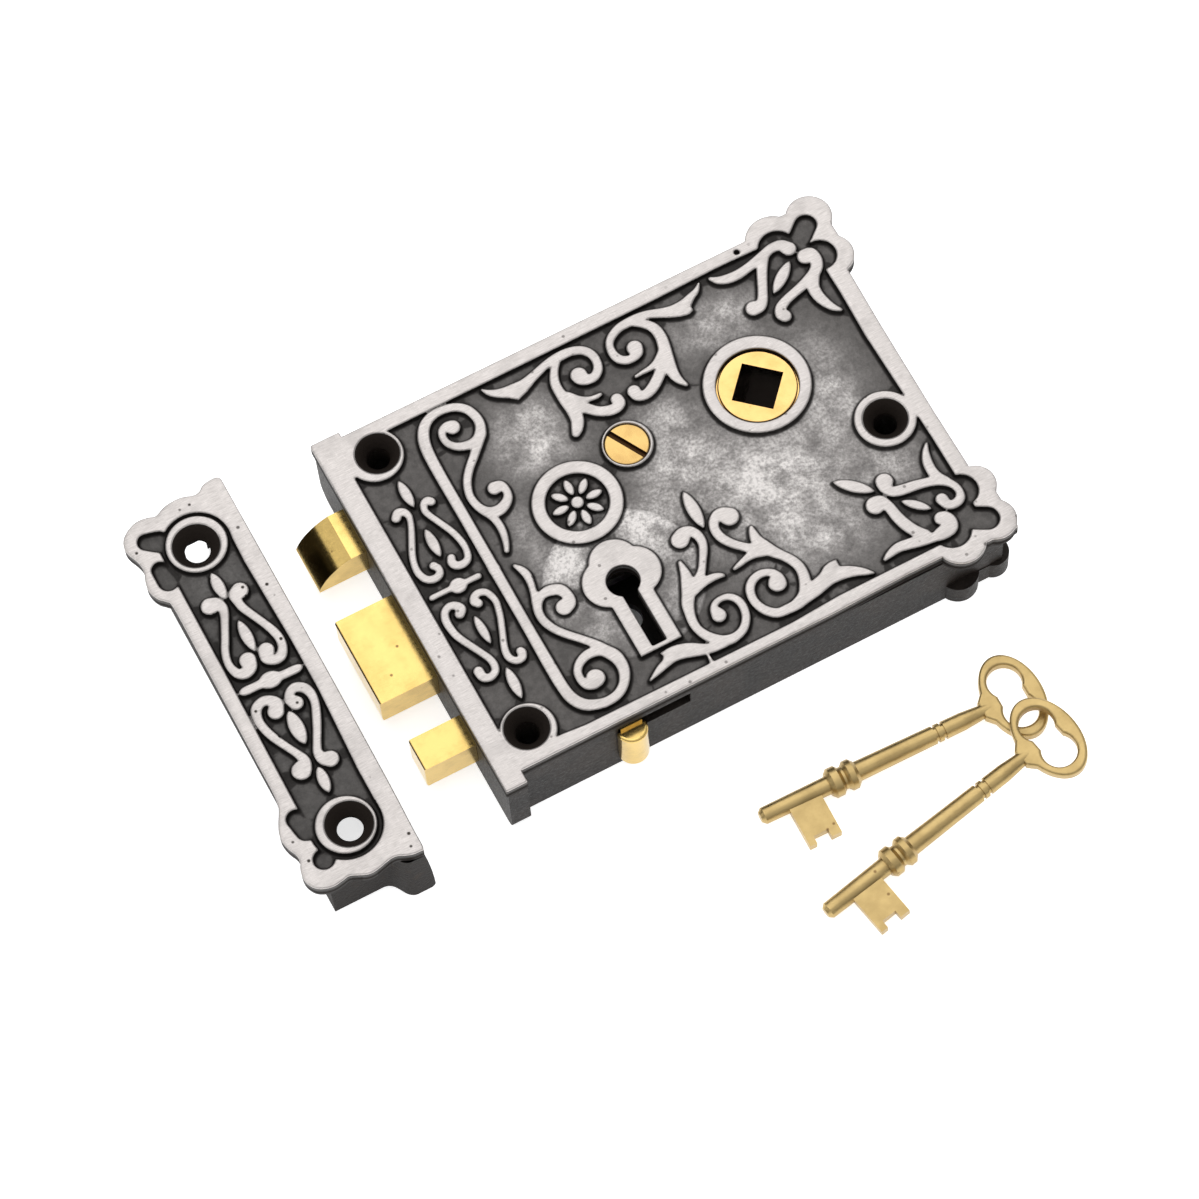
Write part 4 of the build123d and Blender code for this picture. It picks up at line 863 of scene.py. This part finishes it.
def relief_iron(name, field_low, field_high, grain_turn, pit_share):
    """Cast iron with brushed tops, blackened recesses and a burnished field; painted shade darkens the
    ornament's foot and the holes, and a painted sheen lifts the field.
    """
    g = Graph(name)
    rise = g.attribute("rise")
    burnish_and_sheen = g.attribute("burnish_and_sheen")
    ragged = g.math("ADD", g.times(g.noise(1.6, 4.0), 0.16), rise)
    top = g.ramp(ragged, -0.02, 0.16)
    mottle = g.noise(0.16, 5.0, 0.62)
    speckle = g.noise(1.3, 4.0, 0.7)
    # Painted sheen together with real burnishing: this share lifts the field towards field_high.
    burnish_and_sheen_share = g.times(burnish_and_sheen, g.ramp(mottle, 0.3, 0.7, 0.4, 1.4))
    burnish_and_sheen_share = g.times(burnish_and_sheen_share, g.ramp(speckle, 0.3, 0.7, 0.5, 1.25))
    base = g.mix(g.ramp(g.noise(0.5, 6.0, 0.7), 0.32, 0.7), field_low, tuple(1.5 * c for c in field_low))
    field = g.mix(burnish_and_sheen_share, base, field_high)
    # Painted shade with grime: a dark band at the foot of every ornament wall, the same all round.
    grime_and_shade = g.ramp(ragged, -1.0, -0.35)
    recess = g.mix(g.times(grime_and_shade, 0.88), field, (0.009, 0.0078, 0.007))
    wall = g.ramp(rise, -2.55, -3.4)
    rust = g.ramp(g.noise(0.22, 4.0, 0.6), 0.55, 0.8)
    wall_colour = g.mix(rust, (0.022, 0.019, 0.017), (0.045, 0.03, 0.021))
    recess = g.mix(wall, recess, wall_colour)
    # Painted shade: countersinks, bores and the screw seat are near-black, with their reflection turned
    # down.
    hole = g.times(g.ramp(rise, -3.6, -5.0), g.ramp(rise, -7.6, -6.4))
    recess = g.mix(hole, recess, (0.014, 0.0105, 0.0085))
    matt = g.math("MAXIMUM", hole, g.times(wall, 0.75))
    g.set(Specular_IOR_Level=g.ramp(matt, 0.0, 1.0, 0.5, 0.05))
    grain = g.noise(1.0, 5.0, 0.75, g.stretched((0.35, 6.0, 1.0), grain_turn))
    cross = g.noise(1.0, 4.0, 0.7, g.stretched((3.0, 0.35, 1.0), grain_turn + 0.35))
    bright = g.mix(g.ramp(grain, 0.3, 0.7), (0.37, 0.345, 0.33), (0.55, 0.515, 0.495))
    bright = g.mix(g.ramp(cross, 0.55, 0.75, 0.0, 0.45), bright, (0.68, 0.645, 0.62))
    bright = g.mix(g.ramp(g.noise(0.11, 3.0), 0.5, 0.75, 0.0, 0.4), bright, (0.3, 0.28, 0.268))
    pits = g.times(g.pits(0.36, 0.2), pit_share)
    bright = g.mix(pits, bright, (0.04, 0.035, 0.03))
    g.set(Base_Color=g.mix(top, recess, bright))
    metal = g.ramp(ragged, -1.6, 0.1, 0.7, 1.0)
    g.set(Metallic=g.times(metal, g.ramp(matt, 0.0, 1.0, 1.0, 0.0)))
    top_rough = g.ramp(grain, 0.25, 0.75, 0.46, 0.34)
    field_rough = g.ramp(burnish_and_sheen_share, 0.0, 1.0, 0.62, 0.42)
    low_rough = g.math("MAXIMUM", field_rough, g.ramp(hole, 0.0, 1.0, 0.0, 0.75))
    rough = g.node("ShaderNodeMix", {"data_type": "FLOAT"}, {0: top, 2: low_rough, 3: top_rough})
    g.set(Roughness=rough.outputs[0])
    cast = g.times(g.noise(1.1, 6.0, 0.62), g.ramp(top, 0.0, 1.0, 1.0, 0.12))
    normal = g.bump(cast, 0.28, 0.9)
    brushed = g.times(grain, top)
    normal = g.bump(brushed, 0.02, 0.5, normal)
    g.set(Normal=g.bump(g.times(pits, -1.0), 0.12, 0.6, normal))
    return g.material


def dark_iron(name):
    """Blackened cast iron of the case: sandy, slightly brown, a little worn."""
    g = Graph(name)
    broad = g.noise(0.09, 4.0, 0.6)
    fine = g.noise(1.4, 6.0, 0.7)
    colour = g.mix(g.ramp(broad, 0.35, 0.7), (0.009, 0.0072, 0.006), (0.022, 0.0165, 0.013))
    colour = g.mix(g.ramp(fine, 0.5, 0.75, 0.0, 0.4), colour, (0.05, 0.042, 0.036))
    g.set(Base_Color=colour, Metallic=0.1, Specular_IOR_Level=0.14)
    g.set(Roughness=g.ramp(fine, 0.3, 0.7, 0.38, 0.58))
    g.set(Normal=g.bump(g.noise(0.9, 7.0, 0.65), 0.22, 0.7))
    return g.material


def brass(name, colour, dull, rough, grain_axis, grain_depth, spots, grime_and_shade=None):
    """Polished or satin brass with fine working marks, a few tarnish spots, and grime with painted shade
    where told.
    """
    g = Graph(name)
    grain = g.noise(1.0, 5.0, 0.7, g.stretched(grain_axis))
    cloud = g.noise(0.18, 4.0, 0.6)
    tone = g.mix(g.ramp(cloud, 0.35, 0.75, 0.0, 0.55), colour, dull)
    tone = g.mix(g.ramp(grain, 0.3, 0.75, 0.0, 0.25), tone, tuple(min(1.0, c * 1.18) for c in colour))
    marks = g.times(g.pits(0.33, 0.17), spots)
    tone = g.mix(marks, tone, (0.12, 0.06, 0.025))
    if grime_and_shade is not None:
        # Painted shade with grime: dark brown where told, in the screw slot and the follower's square hole.
        tone = g.mix(grime_and_shade(g), tone, (0.032, 0.016, 0.007))
    g.set(Base_Color=tone, Metallic=1.0)
    g.set(Roughness=g.ramp(grain, 0.25, 0.75, rough, rough * 1.7))
    g.set(Normal=g.bump(grain, grain_depth, 0.5, g.bump(cloud, grain_depth * 6.0, 0.4)))
    return g.material


SLOT_GRIME_AND_SHADE = (0.62, 1.0)     # depths below the face at which the slot's grime and painted shade start and are full
BORE_REACH = 7.6             # radius that holds the follower's square hole


def slot_grime_and_shade(g):
    """Share of grime and painted shade in the slot of the cap screw, darker by depth below the lock's face.
    """
    height = g.split(g.mm)[2]
    return g.node("ShaderNodeMapRange", None, {"Value": height, "From Min": TOP - SLOT_GRIME_AND_SHADE[0],
                                               "From Max": TOP - SLOT_GRIME_AND_SHADE[1]}).outputs[0]


def bore_wall_shade(g):
    """Share of painted shade in the follower's square hole: its upright walls."""
    flat = g.node("ShaderNodeVectorMath", {"operation": "MULTIPLY"}, {0: g.mm, 1: (1, 1, 0)})
    away = g.node("ShaderNodeVectorMath", {"operation": "DISTANCE"},
                  {0: flat.outputs[0], 1: (*SPINDLE, 0.0)}).outputs["Value"]
    upright = g.math("LESS_THAN", g.split(g.node("ShaderNodeNewGeometry").outputs["True Normal"])[2], 0.4)
    return g.times(g.math("LESS_THAN", away, BORE_REACH), upright)


def steel(name, colour, tint, rough):
    """Plain rolled steel with mill marks, or blued spring steel."""
    g = Graph(name)
    grain = g.noise(1.0, 4.0, 0.7, g.stretched((0.3, 3.0, 3.0)))
    cloud = g.noise(0.3, 4.0)
    tone = g.mix(g.ramp(cloud, 0.35, 0.7), colour, tint)
    g.set(Base_Color=tone, Metallic=1.0)
    g.set(Roughness=g.ramp(grain, 0.3, 0.7, rough, rough * 1.5))
    g.set(Normal=g.bump(grain, 0.02, 0.6))
    return g.material


def dress(material, *names):
    """Give CAD nodes their material."""
    for name in names:
        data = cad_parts[name].data
        data.materials.clear()
        data.materials.append(material)


# ------------ build the pieces
cap_casting = make_cap()
cap_casting.data.materials.append(
    relief_iron("cap_iron_finish", (0.086, 0.08, 0.076), (0.62, 0.59, 0.57), 0.0, 0.6))
keep_casting = make_keep()
keep_casting.data.materials.append(
    relief_iron("keep_iron_finish", (0.062, 0.058, 0.055), (0.32, 0.305, 0.295), math.pi / 2, 1.0))

dress(dark_iron("case_iron_finish"), "case")
bolt_brass = brass("bolt_brass_finish", (0.66, 0.47, 0.16), (0.42, 0.28, 0.085), 0.13,
                   (0.2, 2.5, 2.5), 0.012, 0.8)
dress(bolt_brass, "latch_head", "deadbolt_head", "snib_bolt", "snib_knob")
follower_brass = brass("follower_brass_finish", (0.68, 0.45, 0.17), (0.5, 0.27, 0.08), 0.12,
                       (2.0, 2.0, 0.5), 0.01, 0.3, bore_wall_shade)
dress(follower_brass, "follower")
screw_brass = brass("screw_brass_finish", (0.56, 0.38, 0.14), (0.36, 0.2, 0.07), 0.22,
                    (2.6, 0.5, 1.0), 0.02, 0.5, slot_grime_and_shade)
dress(screw_brass, "cap_screw")
key_brass = brass("key_brass_finish", (0.46, 0.335, 0.145), (0.27, 0.185, 0.075), 0.27,
                  (0.25, 3.0, 3.0), 0.03, 0.7)
dress(key_brass, "key_1", "key_2")
lever_brass = brass("lever_brass_finish", (0.72, 0.54, 0.26), (0.56, 0.4, 0.18), 0.3,
                    (0.3, 3.0, 1.0), 0.02, 0.5)
dress(lever_brass, "lever_1", "lever_2")
inner_steel = steel("inner_steel_finish", (0.42, 0.41, 0.4), (0.3, 0.29, 0.28), 0.32)
spring_steel = steel("spring_steel_finish", (0.2, 0.2, 0.23), (0.12, 0.11, 0.13), 0.26)
make_latch_spring().data.materials.append(spring_steel)
dress(spring_steel, "lever_spring_1", "lever_spring_2", "snib_spring")
dress(inner_steel, "latch_tail", "latch_rivets", "deadbolt_tail", "deadbolt_rivets", "bolt_stump",
      "cap_post", "latch_guide_pin", "bolt_guide_pin", "lever_pivot", "lever_washers", "spring_stop")


# ------------ camera, floor and lights, in metres unless said otherwise
CAMERA_PLACE = (-0.207372, -0.442983, 1.009066)
CAMERA_RIGHT = (0.88306, -0.46769, -0.03825)
CAMERA_UP = (0.43847, 0.79335, 0.4223)
CAMERA_BACK = (-0.16716, -0.38969, 0.90565)
CAMERA_LENS = 139.99
# Lamps aimed at the middle of the lock: name, place, width and height, power.
LAMPS = (("key_light", (0.35, 0.75, 0.9), (1.1, 0.8), 3.0),
         ("top_light", (-0.1, 0.1, 1.5), (1.2, 1.2), 4.4),
         ("side_light", (-0.9, 0.2, 0.6), (0.5, 0.7), 1.2))
UNDER_LOCK = (66.0, 48.0)    # half sizes in millimetres of the floor's unlit part, hidden by the case
FLOOR_GLOW = 0.7
FLOOR_HALF = 6.0
FLOOR_Z = -0.0002


def make_camera():
    """The photograph's view."""
    data = bpy.data.cameras.new("camera")
    data.lens = CAMERA_LENS
    data.clip_start = 0.05
    data.clip_end = 20.0
    obj = link_object("camera", data)
    turn = Matrix((CAMERA_RIGHT, CAMERA_UP, CAMERA_BACK)).transposed().to_4x4()
    obj.matrix_world = Matrix.Translation(CAMERA_PLACE) @ turn
    bpy.context.scene.camera = obj


def make_floor():
    """A plain pale sheet under everything, a little self-lit except under the case."""
    mesh = bpy.data.meshes.new("floor")
    corners = [(x * FLOOR_HALF, y * FLOOR_HALF, 0.0) for x, y in ((-1, -1), (1, -1), (1, 1), (-1, 1))]
    mesh.from_pydata(corners, [], [(0, 1, 2, 3)])
    obj = link_object("floor", mesh)
    obj.location.z = FLOOR_Z
    g = Graph("floor_white")
    place = g.split(g.mm)
    beside = g.math("GREATER_THAN", g.math("ABSOLUTE", place[0]), UNDER_LOCK[0])
    beyond = g.math("GREATER_THAN", g.math("ABSOLUTE", place[1]), UNDER_LOCK[1])
    glow = g.times(g.math("MAXIMUM", beside, beyond), FLOOR_GLOW)
    g.set(Base_Color=(0.9, 0.9, 0.9, 1), Roughness=0.9, Specular_IOR_Level=0.1)
    g.set(Emission_Color=(1, 1, 1, 1), Emission_Strength=glow)
    mesh.materials.append(g.material)


def make_light():
    """Broad soft lamps in a pale room that is brighter overhead."""
    world = bpy.data.worlds.new("room")
    bpy.context.scene.world = world
    world.use_nodes = True
    tree = world.node_tree
    tree.nodes["Background"].inputs["Color"].default_value = (0.985, 0.99, 1.0, 1)
    place = tree.nodes.new("ShaderNodeTexCoord")
    split = tree.nodes.new("ShaderNodeSeparateXYZ")
    fade = tree.nodes.new("ShaderNodeMapRange")
    for key, value in (("From Min", 0.05), ("From Max", 0.75), ("To Min", 0.22), ("To Max", 0.95)):
        fade.inputs[key].default_value = value
    tree.links.new(place.outputs["Generated"], split.inputs[0])
    tree.links.new(split.outputs[2], fade.inputs["Value"])
    tree.links.new(fade.outputs[0], tree.nodes["Background"].inputs["Strength"])
    bpy.context.scene.view_settings.view_transform = "Standard"
    for name, place, size, power in LAMPS:
        data = bpy.data.lights.new(name, "AREA")
        data.shape = "RECTANGLE"
        data.size, data.size_y = size
        data.energy = power
        lamp = link_object(name, data)
        lamp.location = place
        lamp.rotation_euler = (-Vector(place)).to_track_quat("-Z", "Y").to_euler()


make_camera()
make_floor()
make_light()
